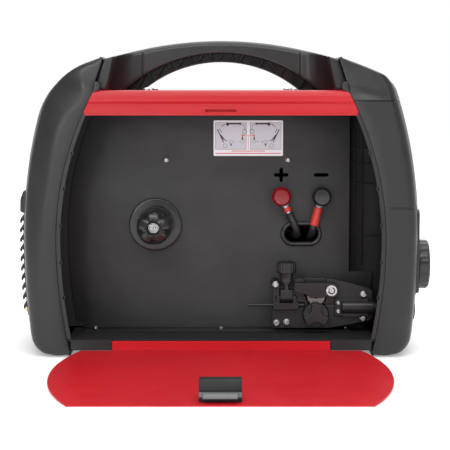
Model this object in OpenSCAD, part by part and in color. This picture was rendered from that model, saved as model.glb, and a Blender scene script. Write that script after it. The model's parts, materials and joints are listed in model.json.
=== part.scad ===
// Portable MIG welding machine: two end shells, handle, red cover and drop-down door round a
// steel wire-feed compartment. X runs along the length, with the control end at +X; the door side
// faces -Y; Z is up and the floor is z = 0. Places along Y are first written as a depth behind the
// door-side face of the case, and at_origin() then centres the whole machine on the origin.

/* [Case] */
// Length of the case over the cheeks of its end shells
case_l = 447; // [440:0.5:460]
// Depth of the case, from the door side to the fixed side
case_d = 235; // [228:1:250]
// Height of the top sheet
top_h = 303; // [300:0.5:308]
// Height of the waist, where the ends are widest
waist_h = 132; // [126:1:138]
// Outline radius of the ends above the waist
end_r_up = 545; // [520:5:600]
// Outline radius of the ends below the waist
end_r_low = 944; // [850:10:1100]
// Bulge of the end walls past the cheeks
crown = 9; // [6:0.5:11]
// Wall of the plastic mouldings
shell_t = 2.8; // [2.4:0.1:3.4]
// Corner radius at the bottom of the ends
corner_r = 22; // [18:1:26]
// Shoulder radius of the front end
front_shoulder_r = 28; // [22:1:34]
// Shoulder radius of the rear end
rear_shoulder_r = 45; // [38:1:52]
// Thickness of the rubber feet
foot_h = 2.5; // [2:0.1:3.5]
// Gap left between neighbouring fixed pieces
fit_gap = 0.3; // [0.2:0.05:0.4]
// Radial clearance of pins and shafts
run_gap = 0.05; // [0.02:0.01:0.08]

/* [Door opening] */
// Width of the opening at the waist
open_w = 373.6; // [368:0.5:378]
// Outline radius of the opening above the waist
open_r_up = 355; // [340:5:380]
// Outline radius of the opening below the waist
open_r_low = 545; // [500:5:600]
// Width of the rebate lip inside the opening
lip_w = 5; // [4:0.5:7]
// Thickness of the painted sheet of door and cover
sheet_t = 1.2; // [1:0.1:1.5]
// Recess of the sheets behind the cheeks
sheet_in = 0.6; // [0.4:0.1:1]

/* [Door] */
// Width of the door at its widest
door_w = 361.2; // [354:0.5:362]
// Radius of the door's curved sides
door_side_r = 322; // [300:2:326]
// Distance of the door's widest line from its hinge
door_widest = 135; // [125:1:140]
// Distance from the hinge axis to the free edge
door_reach = 274; // [268:0.5:274.5]
// Height of the hinge axis
hinge_h = 13; // [12.5:0.1:13.4]
// Distance between the outer faces of the hinge ears
ear_span = 247; // [240:1:252]
// Diameter of the hinge pivot screws
hinge_pin_d = 5; // [4:0.1:5.5]

/* [Top cover and handle] */
// Height of the front rail of the cover
rail_h = 25.4; // [24:0.2:28]
// Height of the crown of the handle above the top sheet
handle_rise = 58; // [54:0.5:62]
// Outline radius of the top of the handle
handle_r = 520; // [490:5:550]
// Depth of the grip
grip_d = 46; // [40:1:52]
// Radius of the arch under the handle
arch_r = 147; // [140:1:152]
// Thickness of the handle at its crown
grip_h = 24.6; // [22:0.2:28]

/* [Compartment] */
// Height of the compartment floor
floor_h = 20.2; // [19.9:0.1:20.4]
// Depth of the centre panel behind the door side
wall_depth = 88; // [84:1:94]
// Thickness of the inner steel sheets
steel_t = 1.4; // [1.2:0.1:1.8]
// Height of the spool hub's axis
hub_h = 144.5; // [140:0.5:150]
// Place of the spool hub along the length
hub_x = -78; // [-82:0.5:-74]
// Diameter of the hub's barrel
hub_d = 40; // [36:0.5:44]
// Diameter of the hub's backing disc
hub_disc_d = 62; // [56:1:68]
// How far the hub stands off the centre panel
hub_l = 58; // [50:1:62]
// Diameter of the hub's spindle
spindle_d = 8; // [7:0.5:9]

/* [Terminals] */
// Height of the two terminals
term_h = 178; // [175:0.5:181]
// Place of the positive terminal
plus_x = 71; // [69:0.5:73]
// Distance between the terminals
term_pitch = 47.5; // [45:0.5:50]
// Diameter of the terminal knobs
term_knob_d = 23; // [21:0.5:24]
// Diameter of the terminal studs
stud_d = 6; // [5:0.5:7]
// Diameter of the welding leads
lead_d = 8.6; // [8:0.1:9]

/* [Wire feeder] */
// Place of the drive roller along the length
drive_x = 110.6; // [108:0.2:113]
// Height of the drive roller's axis
drive_h = 41.5; // [41:0.1:42]
// Diameter of the drive roller
drive_d = 22; // [20:0.2:22.2]
// Diameter of the pressure roller
press_d = 20.4; // [19:0.2:20.6]
// How far the feeder's face stands off the centre panel
feeder_l = 32; // [30:0.5:34]
// Diameter of the tri-wing roller knob
wing_d = 28.6; // [27:0.2:30]
// Diameter of the tension knob's cap
cap_d = 22.8; // [20:0.2:23]
// Diameter of the torch adaptor tube
adaptor_d = 16.8; // [15:0.2:18]

/* [Controls] */
// Diameter of the rotary selector
selector_d = 57; // [52:1:60]
// Diameter of the wire-speed knob
speed_d = 34; // [30:1:38]
// Height of the knob row on the control plate
knob_h = 101; // [99:0.5:103]

/* [Power parts] */
// Length of the transformer core
core_l = 104; // [96:1:110]
// Height of the transformer core
core_h = 96; // [90:1:104]
// Diameter of the cooling fan
fan_d = 110; // [100:1:118]
// Diameter of the feed motor
motor_d = 40; // [36:0.5:41]
// Bore of the torch gland
torch_bore_d = 15; // [13:0.5:16]
// Bore of the earth-cable gland
earth_bore_d = 10; // [9:0.5:11]
// Bore of the mains gland
mains_bore_d = 9; // [8:0.5:10]

/* [Hidden] */
$fn = 48;

black = [0.2, 0.2, 0.21];
dark = [0.13, 0.13, 0.14];
red = [0.77, 0.12, 0.15];
steel = [0.75, 0.75, 0.77];
copper = [0.72, 0.42, 0.2];

half_l = case_l / 2;
up_cx = half_l - end_r_up;
low_cx = half_l - end_r_low;
crown_z = top_h + handle_rise;
top_cz = crown_z - handle_r;
hinge_y = sheet_in + sheet_t + 2.1;
door_offset = hinge_y - sheet_in;
door_ray = sqrt(door_offset * door_offset + door_reach * door_reach);
open_angle = 90 + asin(hinge_h / door_ray) - atan(door_offset / door_reach);
door_tip = -(hinge_y - door_ray * cos(180 + asin(hinge_h / door_ray)));
lip_y = sheet_in + sheet_t + 0.6;
wall_face = wall_depth;
wall_back = wall_depth + steel_t;
feeder_face = wall_face - feeder_l;
minus_x = plus_x + term_pitch;
wire_h = drive_h + drive_d / 2;
plate_seat_x = half_l - 0.5;
plate_t = 5;
plate_face_x = plate_seat_x + plate_t;
knob_gap = 0.5;
selector_tip_x = plate_face_x + knob_gap + 12.5;
louvre_reach = selector_tip_x;

// Centres the machine's box on the origin along Y; along X both ends reach equally far.
module at_origin() {
    translate([0, (-case_d - door_far_y()) / 2, 0]) children();
}

function door_far_y() = hinge_y - door_ray * cos(asin(hinge_h / door_ray));

// ---------- outlines and common shapes ----------

function arc(c, r, a0, a1, n) =
    [for (k = [0:n]) [c[0] + r * cos(a0 + (a1 - a0) * k / n), c[1] + r * sin(a0 + (a1 - a0) * k / n)]];

// The crossing of two circles that has the larger x.
function crossing(c1, r1, c2, r2) =
    let (d = norm(c2 - c1), u = (c2 - c1) / d, a = (r1 * r1 - r2 * r2 + d * d) / (2 * d),
        h = sqrt(r1 * r1 - a * a))
    c1 + a * u + h * [-u[1], u[0]];

// Outline of an end shell seen from the side, drawn in by i.
function end_outline(i, shoulder_r, inner_x) =
    let (zb = foot_h + corner_r, cl = [low_cx, waist_h], cu = [up_cx, waist_h], ct = [0, top_cz],
        rl = end_r_low + crown / 2, ru = end_r_up + crown / 2,
        bc = [low_cx + sqrt(pow(rl - corner_r, 2) - pow(waist_h - zb, 2)), zb],
        sc = crossing(cu, ru - shoulder_r, ct, handle_r - shoulder_r),
        ab = atan2(zb - waist_h, bc[0] - low_cx), as = atan2(sc[1] - waist_h, sc[0] - up_cx),
        at = atan2(sc[1] - top_cz, sc[0]), far = 40)
    concat([[inner_x, foot_h + i]],
        arc(bc, corner_r - i, -90, ab, 8),
        [cl + (rl + far) * [cos(ab), sin(ab)], cu + (ru + far) * [cos(as), sin(as)]],
        arc(sc, shoulder_r - i, as, at, 8),
        arc(ct, handle_r - i, at, acos(inner_x / (handle_r - i)), 8));

// Section through an end wall and both cheeks, measured out from the outline radius r.
function rim_half(r, i) =
    [[r - 150, i - 6], [r - 76, i - 6], [r - 7 - i / 2, 3 + i], [r - i, 14 + i / 2],
        [r + crown * 0.65 - i, case_d * 0.2], [r + crown - i, case_d * 0.38]];
function rim(r, i) =
    let (h = rim_half(r, i), n = len(h) - 1)
    concat([for (p = h) [p[0], -p[1]]], [for (k = [n:-1:0]) [h[k][0], -(case_d - h[k][1])]]);

module swept_rim(r, cx, a0, a1, i) {
    translate([cx, 0, waist_h])
        rotate([90, 0, 0])
            rotate([0, 0, a0])
                rotate_extrude(angle = a1 - a0, $fn = 120) polygon(rim(r, i));
}

// The body of the front end, drawn in by i; the rear end is its mirror image.
module end_body(i, shoulder_r, inner_x) {
    intersection() {
        extrude_depth(i, case_d - i) polygon(end_outline(i, shoulder_r, inner_x));
        union() {
            swept_rim(end_r_up, up_cx, 0, 26, i);
            swept_rim(end_r_low, low_cx, -10, 0, i);
        }
    }
}

// Extrudes an XZ outline from depth y0 to depth y1.
module extrude_depth(y0, y1) {
    translate([0, y1, 0]) rotate([90, 0, 0]) linear_extrude(y1 - y0) children();
}

// Extrudes a YZ outline along X from x0 to x1.
module extrude_length(x0, x1) {
    translate([x0, 0, 0]) rotate([90, 0, 90]) linear_extrude(x1 - x0) children();
}

// Outline of the door opening, drawn in by i, between heights z0 and z1.
module opening_2d(i, z0, z1) {
    half = open_w / 2 - i;
    intersection() {
        translate([-half - 1, z0]) square([2 * half + 2, z1 - z0]);
        union() {
            lens_2d(half, open_r_up - i, waist_h, 400);
            lens_2d(half, open_r_low - i, -60, waist_h);
        }
    }
}

module lens_2d(half, r, z0, z1) {
    intersection() {
        translate([half - r, waist_h]) circle(r, $fn = 180);
        translate([r - half, waist_h]) circle(r, $fn = 180);
        translate([-half, z0]) square([2 * half, z1 - z0]);
    }
}

module rod_y(d, y0, y1, x, z) {
    translate([x, y0, z]) rotate([-90, 0, 0]) cylinder(d = d, h = y1 - y0);
}

module rod_x(d, x0, x1, y, z) {
    translate([x0, y, z]) rotate([0, 90, 0]) cylinder(d = d, h = x1 - x0);
}

module rod_z(d, z0, z1, x, y) {
    translate([x, y, z0]) cylinder(d = d, h = z1 - z0);
}

module box(x0, x1, y0, y1, z0, z1) {
    translate([x0, y0, z0]) cube([x1 - x0, y1 - y0, z1 - z0]);
}

// Turns a shape drawn along +Z so that it points to the door side, from depth y.
module facing_door(x, y, z) {
    translate([x, y, z]) rotate([90, 0, 0]) children();
}

// A plate with round ends, w wide and h high, about its centre.
module stadium(w, h) {
    square([w - h, h], center = true);
    translate([(w - h) / 2, 0]) circle(d = h);
    translate([-(w - h) / 2, 0]) circle(d = h);
}

module round_rect(w, h, r) {
    square([w - 2 * r, h], center = true);
    square([w, h - 2 * r], center = true);
    for (sx = [-1, 1], sz = [-1, 1])
        translate([sx * (w / 2 - r), sz * (h / 2 - r)]) circle(r);
}

// Pan-head screw along +Z: the head sits on z = 0 and the shank runs down.
module pan_screw(head_d, shank_d, shank_l) {
    difference() {
        union() {
            cylinder(d = head_d, h = head_d * 0.2);
            translate([0, 0, head_d * 0.2]) cylinder(d1 = head_d, d2 = head_d * 0.62, h = head_d * 0.16);
        }
        translate([0, 0, head_d * 0.28]) {
            cube([head_d * 0.5, head_d * 0.1, head_d * 0.3], center = true);
            cube([head_d * 0.1, head_d * 0.5, head_d * 0.3], center = true);
        }
    }
    translate([0, 0, -shank_l]) cylinder(d = shank_d, h = shank_l);
}

// ---------- end shells ----------

parting_top_x = 137;
parting_low_x = 144.5;
far_x = 400;

// What is cut from an end shell: the two openings, the top sheet's slot and the handle's seat.
module shell_inner_cut() {
    extrude_depth(-2, case_d + 2) {
        opening_2d(0, -5, top_h + fit_gap);
        polygon([[-10, top_h], [parting_low_x, top_h], [parting_top_x, top_h + 37],
            [parting_top_x - 3, top_h + 80], [-10, top_h + 80]]);
    }
}

// Lip that the door or the fixed side lies against, with its rebate wall, up to height lip_z1.
module rebate_lip(y0, y1, wall0, wall1, lip_z1) {
    difference() {
        union() {
            extrude_depth(y0, y1) opening_2d(-0.5, floor_h + fit_gap, lip_z1);
            extrude_depth(wall0, wall1) opening_2d(-shell_t, floor_h - 10, top_h - 2);
        }
        extrude_depth(y0 - 1, y1 + 1) opening_2d(lip_w, floor_h - 11, top_h);
        extrude_depth(-2, y0) opening_2d(0, floor_h - 11, top_h);
        extrude_depth(y1, case_d + 2) opening_2d(0, floor_h - 11, top_h);
        extrude_depth(-2, case_d + 2) opening_2d(0, floor_h - 11, floor_h + fit_gap);
        extrude_depth(-2, case_d + 2) opening_2d(0, lip_z1, top_h);
        box(-far_x, 120, -5, case_d + 5, -5, far_x);
    }
}

module lip_tabs() {
    for (z = [68, 108, 150, 192, 232]) {
        x = open_half_at(z) - lip_w - 1.2;
        box(x, x + 3.5, lip_y, lip_y + shell_t, z - 2, z + 2);
    }
}

function open_half_at(z) =
    let (r = z > waist_h ? open_r_up : open_r_low)
    open_w / 2 - r + sqrt(r * r - pow(z - waist_h, 2));

module end_shell(shoulder_r) {
    difference() {
        end_body(0, shoulder_r, 60);
        end_body(shell_t, shoulder_r, 40);
        shell_inner_cut();
    }
    rebate_lip(lip_y, lip_y + shell_t, 0, lip_y + shell_t, top_h - rail_h - fit_gap);
    rebate_lip(case_d - lip_y - shell_t, case_d - lip_y, case_d - lip_y - shell_t, case_d, top_h - 2.5);
    lip_tabs();
}

// Outer x of the end wall at height z, at mid depth.
function end_x_at(z) =
    let (r = (z > waist_h ? end_r_up : end_r_low) + crown, cx = z > waist_h ? up_cx : low_cx)
    cx + sqrt(r * r - pow(z - waist_h, 2));

louvre_count = 10;
louvre_pitch = 11.2;
louvre_top = 152;
louvre_y0 = case_d * 0.2 + 4;
louvre_y1 = case_d - louvre_y0;
louvre_root = shell_t + crown * 0.35 + 0.2;

module louvre_window() {
    box(half_l - 30, half_l + 60, louvre_y0, louvre_y1,
        louvre_top - louvre_count * louvre_pitch + 3, louvre_top + 6);
}

// Hooked slats across the window, and the hood above them.
module louvres() {
    for (k = [0:louvre_count - 1]) {
        z = louvre_top - k * louvre_pitch;
        x = end_x_at(z);
        extrude_depth(louvre_y0 - 3.4, louvre_y1 + 3.4)
            polygon([[x - louvre_root, z + 6.5], [x, z + 6.5], [x + louvre_bulge, z + 1],
                [x + louvre_bulge, z - 2.5], [x + louvre_bulge - 2.2, z - 2.8],
                [x + louvre_bulge - 2.4, z - 0.5], [x - louvre_root, z + 3.8]]);
    }
    hx = end_x_at(170);
    extrude_depth(louvre_y0 - 7, louvre_y1 + 7)
        polygon([[hx - louvre_root, 186], [hx, 186], [hx + louvre_bulge, 178], [hx + louvre_bulge + 0.6, 162],
            [hx - 1.4, 160], [hx - louvre_root, 160]]);
}
louvre_bulge = louvre_reach - end_x_at(waist_h);

module rear_shell() {
    color(black) at_origin() mirror([1, 0, 0]) difference() {
        union() {
            difference() {
                end_shell(rear_shoulder_r);
                louvre_window();
            }
            louvres();
            boss(mains_bore_d + 15, mains_y, mains_z);
            boss(gas_seat_d + 5, gas_y, gas_z);
        }
        rod_x(mains_bore_d + 7 + 2 * fit_gap, half_l - 30, far_x, mains_y, mains_z);
        rod_x(gas_seat_d + 2 * fit_gap, half_l - 30, far_x, gas_y, gas_z);
        shell_screw_holes();
    }
}

plate_z0 = 69;
plate_z1 = 167;
plate_y0 = 26;
plate_y1 = case_d - 26;

module plate_2d(i) {
    translate([(plate_y0 + plate_y1) / 2, (plate_z0 + plate_z1) / 2])
        round_rect(plate_y1 - plate_y0 - 2 * i, plate_z1 - plate_z0 - 2 * i, 8 - i);
}

// Ribbed wall inside the front end that closes the compartment beside the centre panel.
module inner_bulkhead() {
    bulkhead_y = wall_back + 3;
    bulkhead_x = wall_x1 + 1.5;
    intersection() {
        union() {
            box(bulkhead_x, far_x, bulkhead_y, bulkhead_y + shell_t, floor_h + 1.6, top_h - 4.3);
            for (x = [bulkhead_x + 3.5, bulkhead_x + 13])
                box(x, x + 1.8, bulkhead_y - 1.7, bulkhead_y + 1, 96, 272);
            for (z = [130, 192, 216, 234])
                box(bulkhead_x + 2, far_x, bulkhead_y - 2.1, bulkhead_y + 1.2, z, z + 1.7);
        }
        end_body(shell_t * 0.6, front_shoulder_r, 60);
    }
}

module front_shell() {
    color(black) at_origin() difference() {
        union() {
            end_shell(front_shoulder_r);
            intersection() {
                extrude_length(plate_seat_x - shell_t, far_x) plate_2d(-shell_t);
                end_body(0, front_shoulder_r, 60);
            }
            board_posts();
            inner_bulkhead();
            boss(torch_bore_d + 15, torch_y, adaptor_z);
            boss(earth_bore_d + 15, earth_y, gland_z);
        }
        extrude_length(plate_seat_x, far_x) plate_2d(0);
        control_holes(plate_seat_x - shell_t - 1, plate_seat_x + 1);
        rod_x(torch_bore_d + 7 + 2 * fit_gap, half_l - 30, far_x, torch_y, adaptor_z);
        rod_x(earth_bore_d + 7 + 2 * fit_gap, half_l - 30, far_x, earth_y, gland_z);
        shell_screw_holes();
    }
}

module rubber_feet() {
    color(dark) at_origin()
        for (sx = [-1, 1], y = [24, case_d - 24])
            translate([sx * 186, y, 0]) difference() {
                cylinder(d1 = 21, d2 = 24, h = foot_h);
                translate([0, 0, -1]) cylinder(d = 9, h = foot_h * 0.4 + 1);
            }
}

screw_y = [52, case_d - 52];
module shell_screw_holes() {
    for (y = screw_y) rod_z(4.4, foot_h - 1, foot_h + shell_t + 1, 186, y);
}

module shell_screws() {
    color(steel) at_origin()
        for (sx = [-1, 1], y = screw_y)
            translate([sx * 186, y, foot_h]) mirror([0, 0, 1]) pan_screw(5.6, 4, shell_t + steel_t + 3);
}

// ---------- handle and cover ----------

module handle_side_2d() {
    intersection() {
        polygon(concat([[-parting_low_x + fit_gap, top_h], [parting_low_x - fit_gap, top_h],
                [parting_top_x - fit_gap, top_h + 37]],
            arc([0, top_cz], handle_r, 74.6, 105.4, 24), [[-parting_top_x + fit_gap, top_h + 37]]));
        polygon([[-parting_low_x, top_h - 1], [parting_low_x, top_h - 1],
            [parting_top_x - fit_gap, top_h + 37], [parting_top_x - fit_gap, top_h + 80],
            [-parting_top_x + fit_gap, top_h + 80], [-parting_top_x + fit_gap, top_h + 37]]);
    }
}

grip_y0 = case_d / 2 - grip_d / 2;
grip_y1 = case_d / 2 + grip_d / 2;
arch_z = crown_z - grip_h - arch_r;
skin_rise = 10;
skin_arch_r = 171;
skin_arch_z = crown_z - grip_h + skin_rise - skin_arch_r;
rib_d = 9;
root_y = 14;

// Plan of the handle: a straight grip that flares to the case's width over scooped roots.
module handle_plan_2d() {
    difference() {
        translate([-parting_low_x - 1, root_y]) square([2 * parting_low_x + 2, case_d - 2 * root_y]);
        for (side = [0, 1]) translate([0, side * case_d]) mirror([0, side]) {
            translate([-92, -1]) square([184, grip_y0 + 1]);
            for (s = [-1, 1]) translate([s * 92, grip_y0 - 60]) circle(60 - 22, $fn = 90);
            translate([-130, -1]) square([260, grip_y0 - 59]);
            for (s = [-1, 1]) translate([s * 98, grip_y0 - 38]) circle(32, $fn = 90);
        }
    }
}

module carry_handle() {
    color(black) at_origin() difference() {
        intersection() {
            extrude_depth(0, case_d) handle_side_2d();
            translate([0, 0, top_h]) linear_extrude(handle_rise + 5) handle_plan_2d();
        }
        extrude_depth(-1, case_d + 1) translate([0, arch_z]) circle(arch_r, $fn = 180);
        for (y = [grip_y0 - 30, grip_y1 - rib_d]) difference() {
            extrude_depth(y, y + 30 + rib_d) translate([0, skin_arch_z]) circle(skin_arch_r, $fn = 180);
            handle_ribs();
            box(-far_x, far_x, grip_y0 + rib_d, grip_y1 - rib_d, 0, far_x);
        }
    }
}

module handle_ribs() {
    for (k = [-9:9])
        translate([k * 12, 0, top_h + 20]) rotate([0, (k % 2 == 0 ? 28 : -28), 0])
            box(-0.9, 0.9, grip_y0 - 1, grip_y1 + 1, -60, 60);
}

// Section through the cover: rail, top sheet and fixed side, as one folded sheet.
module cover_section_2d() {
    t = sheet_t;
    y0 = sheet_in;
    j = lip_y - 0.3 - sheet_in;
    zr = top_h - rail_h;
    zj = zr + 10.4;
    rb = 4;
    far = case_d - sheet_in;
    outer = concat([[y0 + t + 0.1, zr], [y0 + t + 0.1, zj], [y0, zj + 2.4], [y0, top_h - rb]],
        arc([y0 + rb, top_h - rb], rb, 180, 90, 6), arc([far - rb, top_h - rb], rb, 90, 0, 6),
        [[far, floor_h - 10]]);
    inner = concat([[far - t, floor_h - 10]], arc([far - rb, top_h - rb], rb - t, 0, 90, 6),
        arc([y0 + rb, top_h - rb], rb - t, 90, 180, 6),
        [[y0 + t, zj + 2.9], [y0 + 2 * t + 0.1, zj + 0.5], [y0 + 2 * t + 0.1, zr]]);
    polygon(concat(outer, inner));
}

notch_w = 35;
module top_cover() {
    color(red) at_origin() difference() {
        intersection() {
            extrude_length(-half_l, half_l) cover_section_2d();
            extrude_depth(-1, case_d + 1) opening_2d(fit_gap, floor_h - 10, top_h + 1);
        }
        box(-notch_w / 2, notch_w / 2, -1, 8, top_h - rail_h - 1, top_h - rail_h + 3.8);
        for (p = cover_screw_xy) rod_z(4.4, top_h - 6, top_h + 1, p[0], p[1]);
        for (r = [0:2], k = [-5:5]) extrude_depth(case_d - 4, case_d + 1)
            translate([k * 22, 90 + r * 50]) rotate(90) stadium(34, 4.5);
    }
}

cover_screw_xy = [[-84, 15], [82, 15], [-84, case_d - 15], [82, case_d - 15]];
module cover_screws() {
    color(steel) at_origin()
        for (p = cover_screw_xy) translate([p[0], p[1], top_h]) pan_screw(8, 4, 12);
}

// ---------- base, hinge and door ----------

pan_x = 174.3;
pan_front_y = 11;
module base_pan() {
    color(dark) at_origin() difference() {
        union() {
            box(-pan_x, pan_x, sheet_in, case_d - lip_y - shell_t - fit_gap, floor_h - steel_t, floor_h);
            box(-pan_x, pan_x, pan_front_y, pan_front_y + steel_t, foot_h + shell_t + 1, floor_h);
            box(-pan_x, pan_x, case_d - 16, case_d - 16 + steel_t, foot_h + shell_t + 1, floor_h);
            for (s = [-1, 1]) {
                box(s * pan_x - steel_t / 2, s * pan_x + steel_t / 2, 16, case_d - 16,
                    foot_h + shell_t, floor_h);
                box(min(s * pan_x, s * 197), max(s * pan_x, s * 197), 36, case_d - 36,
                    foot_h + shell_t, foot_h + shell_t + steel_t);
            }
        }
        box(-ear_x - 0.2, ear_x + 0.2, -1, hinge_y - 0.5, 10, floor_h + 1);
        for (s = [0, 1]) mirror([s, 0, 0])
            box(ear_x - sheet_t - 0.4, ear_x + 0.2, -1, pan_front_y, 10, floor_h + 1);
        for (s = [-1, 1], y = screw_y) rod_z(4 + 2 * run_gap, foot_h, 9, s * 186, y);
        for (x = [98, 138]) box(x, x + 16, 36, 38, floor_h - steel_t - 1, floor_h + 1);
        for (x = foot_screw_x) rod_z(3.4, floor_h - 5, floor_h + 1, x, foot_screw_y);
    }
}

ear_x = ear_span / 2;
bracket_x = ear_x + fit_gap;
bracket_z0 = 8.8;
bracket_l = open_half_at(bracket_z0) - 1.9 - bracket_x;

module hinge_brackets() {
    color(dark) at_origin() for (s = [0, 1]) mirror([s, 0, 0]) difference() {
        box(bracket_x, bracket_x + bracket_l, 0, pan_front_y, bracket_z0, floor_h - steel_t);
        box(bracket_x + 3, bracket_x + bracket_l - 1.5, 1.5, pan_front_y + 1, bracket_z0 + 1.5,
            floor_h - steel_t - 1.5);
        rod_x(hinge_pin_d, bracket_x - 1, bracket_x + 4, hinge_y, hinge_h);
    }
}

module hinge_screws() {
    color(steel) at_origin() for (s = [0, 1]) mirror([s, 0, 0])
        translate([ear_x - sheet_t - 0.15, hinge_y, hinge_h]) rotate([0, -90, 0])
            pan_screw(8.4, hinge_pin_d, sheet_t + 0.15 + fit_gap + 5);
}

// Places a shape drawn on the closed door at the door's rest pose, open on the floor.
module on_door() {
    at_origin() translate([0, hinge_y, hinge_h]) rotate([open_angle, 0, 0])
        translate([0, -hinge_y, -hinge_h]) children();
}

flange_z = floor_h + fit_gap;
flange_y = hinge_y + 7;
notch_top = hinge_h + 17;
door_inner_y = sheet_in + sheet_t;

module door_2d() {
    half = door_w / 2;
    zc = hinge_h + door_widest;
    difference() {
        intersection() {
            translate([half - door_side_r, zc]) circle(door_side_r, $fn = 180);
            translate([door_side_r - half, zc]) circle(door_side_r, $fn = 180);
            translate([-half, flange_z]) square([2 * half, hinge_h + door_reach - flange_z]);
        }
        for (s = [-1, 1]) translate([s * (ear_x + 60), flange_z - 1])
            square([120, 2 * (notch_top - flange_z + 1)], center = true);
    }
}

module side_door() {
    color(red) on_door() {
        extrude_depth(sheet_in, door_inner_y) door_2d();
        box(-ear_x, ear_x, sheet_in, flange_y, flange_z, flange_z + sheet_t);
        for (s = [0, 1]) mirror([s, 0, 0]) difference() {
            extrude_length(ear_x - sheet_t, ear_x) {
                translate([hinge_y, hinge_h]) circle(d = 10.6);
                polygon([[hinge_y - 5.3, hinge_h], [hinge_y + 5.3, hinge_h],
                    [flange_y, flange_z + sheet_t], [sheet_in, flange_z + sheet_t]]);
            }
            rod_x(hinge_pin_d + 2 * run_gap, ear_x - 5, ear_x + 5, hinge_y, hinge_h);
        }
    }
}

latch_w = 42;
latch_d = 21;
latch_l = 22;
latch_top = hinge_h + door_reach - 13.3;
tongue_w = 34;
tongue_reach = 6.9;
module latch_housing() {
    color(dark) on_door() difference() {
        box(-latch_w / 2, latch_w / 2, door_inner_y, door_inner_y + latch_d, latch_top - latch_l, latch_top);
        box(-tongue_w / 2 - fit_gap, tongue_w / 2 + fit_gap, door_inner_y + 4.4, door_inner_y + 9.6,
            latch_top - latch_l + 3, latch_top + 1);
        box(-16, 16, door_inner_y + 12, door_inner_y + latch_d - 2.5, latch_top - 4, latch_top + 1);
    }
}

module latch_tongue() {
    color([0.6, 0.6, 0.62]) on_door()
        extrude_length(-tongue_w / 2, tongue_w / 2)
            polygon([[door_inner_y + 4.7, latch_top - 9.5], [door_inner_y + 9.3, latch_top - 9.5],
                [door_inner_y + 9.3, latch_top + 3], [door_inner_y + 6.4, latch_top + tongue_reach],
                [door_inner_y + 4.7, latch_top + tongue_reach]]);
}

module latch_spring() {
    color(steel) on_door() for (x = [-9, 9])
        translate([x, door_inner_y + 7, latch_top - latch_l + 3.05]) coil(1.7, 0.5, 6, 9.3);
}

// A plain compression spring standing on z = 0: turns stacked as rings joined by a thin sleeve.
module coil(r, wire_r, turns, h) {
    difference() {
        cylinder(r = r + wire_r * 0.3, h = h, $fn = 24);
        translate([0, 0, -1]) cylinder(r = r - wire_r * 0.3, h = h + 2, $fn = 24);
    }
    for (k = [0:turns - 1]) translate([0, 0, wire_r + k * (h - 2 * wire_r) / (turns - 1)])
        rotate_extrude($fn = 24) translate([r, 0]) circle(wire_r, $fn = 16);
}

// ---------- centre panel and its fittings ----------

foot_screw_x = [-149, 0, 148];
foot_screw_y = wall_depth - 12;
wall_x0 = -178;
wall_x1 = 152;
wall_top = top_h - sheet_t;
grommet_x = 95;
grommet_z = 133;

module centre_panel() {
    color(dark) at_origin() difference() {
        union() {
            extrude_depth(wall_face, wall_back) difference() {
                opening_2d(lip_w, floor_h, wall_top);
                translate([wall_x1, 88]) square([100, 300]);
            }
            box(-164, 152, wall_depth - 24, wall_back, floor_h, floor_h + steel_t);
            box(-120, 120, wall_face, wall_back + 16, wall_top - steel_t, wall_top);
        }
        box(-200, -164, wall_face - 1, wall_back + 1, floor_h - 1, floor_h + 10);
        translate([0, wall_back + 1, 0]) rotate([90, 0, 0]) linear_extrude(steel_t + 2) {
            translate([grommet_x, grommet_z]) stadium(44, 25);
            translate([plus_x, term_h + 25]) {
                stadium(17.3, 4.2);
                rotate(90) stadium(17.3, 4.2);
            }
            translate([minus_x, term_h + 25]) stadium(17.3, 4.2);
            for (x = [plus_x, minus_x]) translate([x, term_h]) circle(d = 12.4);
            translate([hub_x, hub_h]) circle(d = spindle_d + 2 * run_gap);
            translate([drive_x, drive_h]) circle(d = 12);
            for (p = wall_screw_xz) translate(p) circle(d = 4.2);
        }
        for (x = foot_screw_x) rod_z(4 + 2 * run_gap, floor_h - 1, floor_h + 3, x, foot_screw_y);
        for (p = feeder_screw_xz) rod_y(4 + 2 * run_gap, wall_face - 1, wall_back + 1, p[0], p[1]);
    }
}

wall_screw_xz = [[-65, 220.5], [79, 220.5]];
module panel_screws() {
    color(steel) at_origin() {
        for (p = wall_screw_xz) facing_door(p[0], wall_face, p[1]) pan_screw(6.6, 4, 8);
        for (x = foot_screw_x) translate([x, foot_screw_y, floor_h + steel_t]) pan_screw(6.6, 3.2, 4.5);
    }
}

label_x = 32;
label_z = 246.5;
module polarity_label() {
    color([0.8, 0.8, 0.84]) at_origin()
        extrude_depth(wall_face - 0.3, wall_face) translate([label_x, label_z]) round_rect(82, 42, 1.5);
}

hub_disc_t = 5;
hub_y1 = wall_face - 1.2;
hub_y0 = wall_face - hub_l;
pocket_d = 15;
spring_y0 = hub_y0 + 13.4;
spring_y1 = hub_y0 + 32;
module spool_hub() {
    color(dark) at_origin() difference() {
        union() {
            rod_y(hub_disc_d, hub_y1 - hub_disc_t, hub_y1, hub_x, hub_h);
            rod_y(hub_d, hub_y0 + 9, hub_y1, hub_x, hub_h);
            translate([hub_x, hub_y0 + 9, hub_h]) rotate([90, 0, 0])
                rotate_extrude() polygon(concat([[0, -0.5], [hub_d / 2 - 0.3, -0.5]],
                    [for (a = [0:10:80]) [(hub_d / 2 - 0.3) * cos(a), 9 * sin(a)]], [[0, 9]]));
        }
        rod_y(pocket_d, hub_y0 - 1, spring_y1, hub_x, hub_h);
        rod_y(spindle_d + 2 * run_gap, spring_y1 - 1, hub_y1 + 1, hub_x, hub_h);
        for (k = [0:4]) rotate_about(hub_x, hub_h, 90 + 72 * k)
            translate([hub_d / 2 + 0.5, hub_y0 - 1, 0]) rotate([-90, 0, 0]) cylinder(d = 6, h = 12.5);
    }
}

module rotate_about(x, z, a) {
    translate([x, 0, z]) rotate([0, -a, 0]) children();
}

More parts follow.
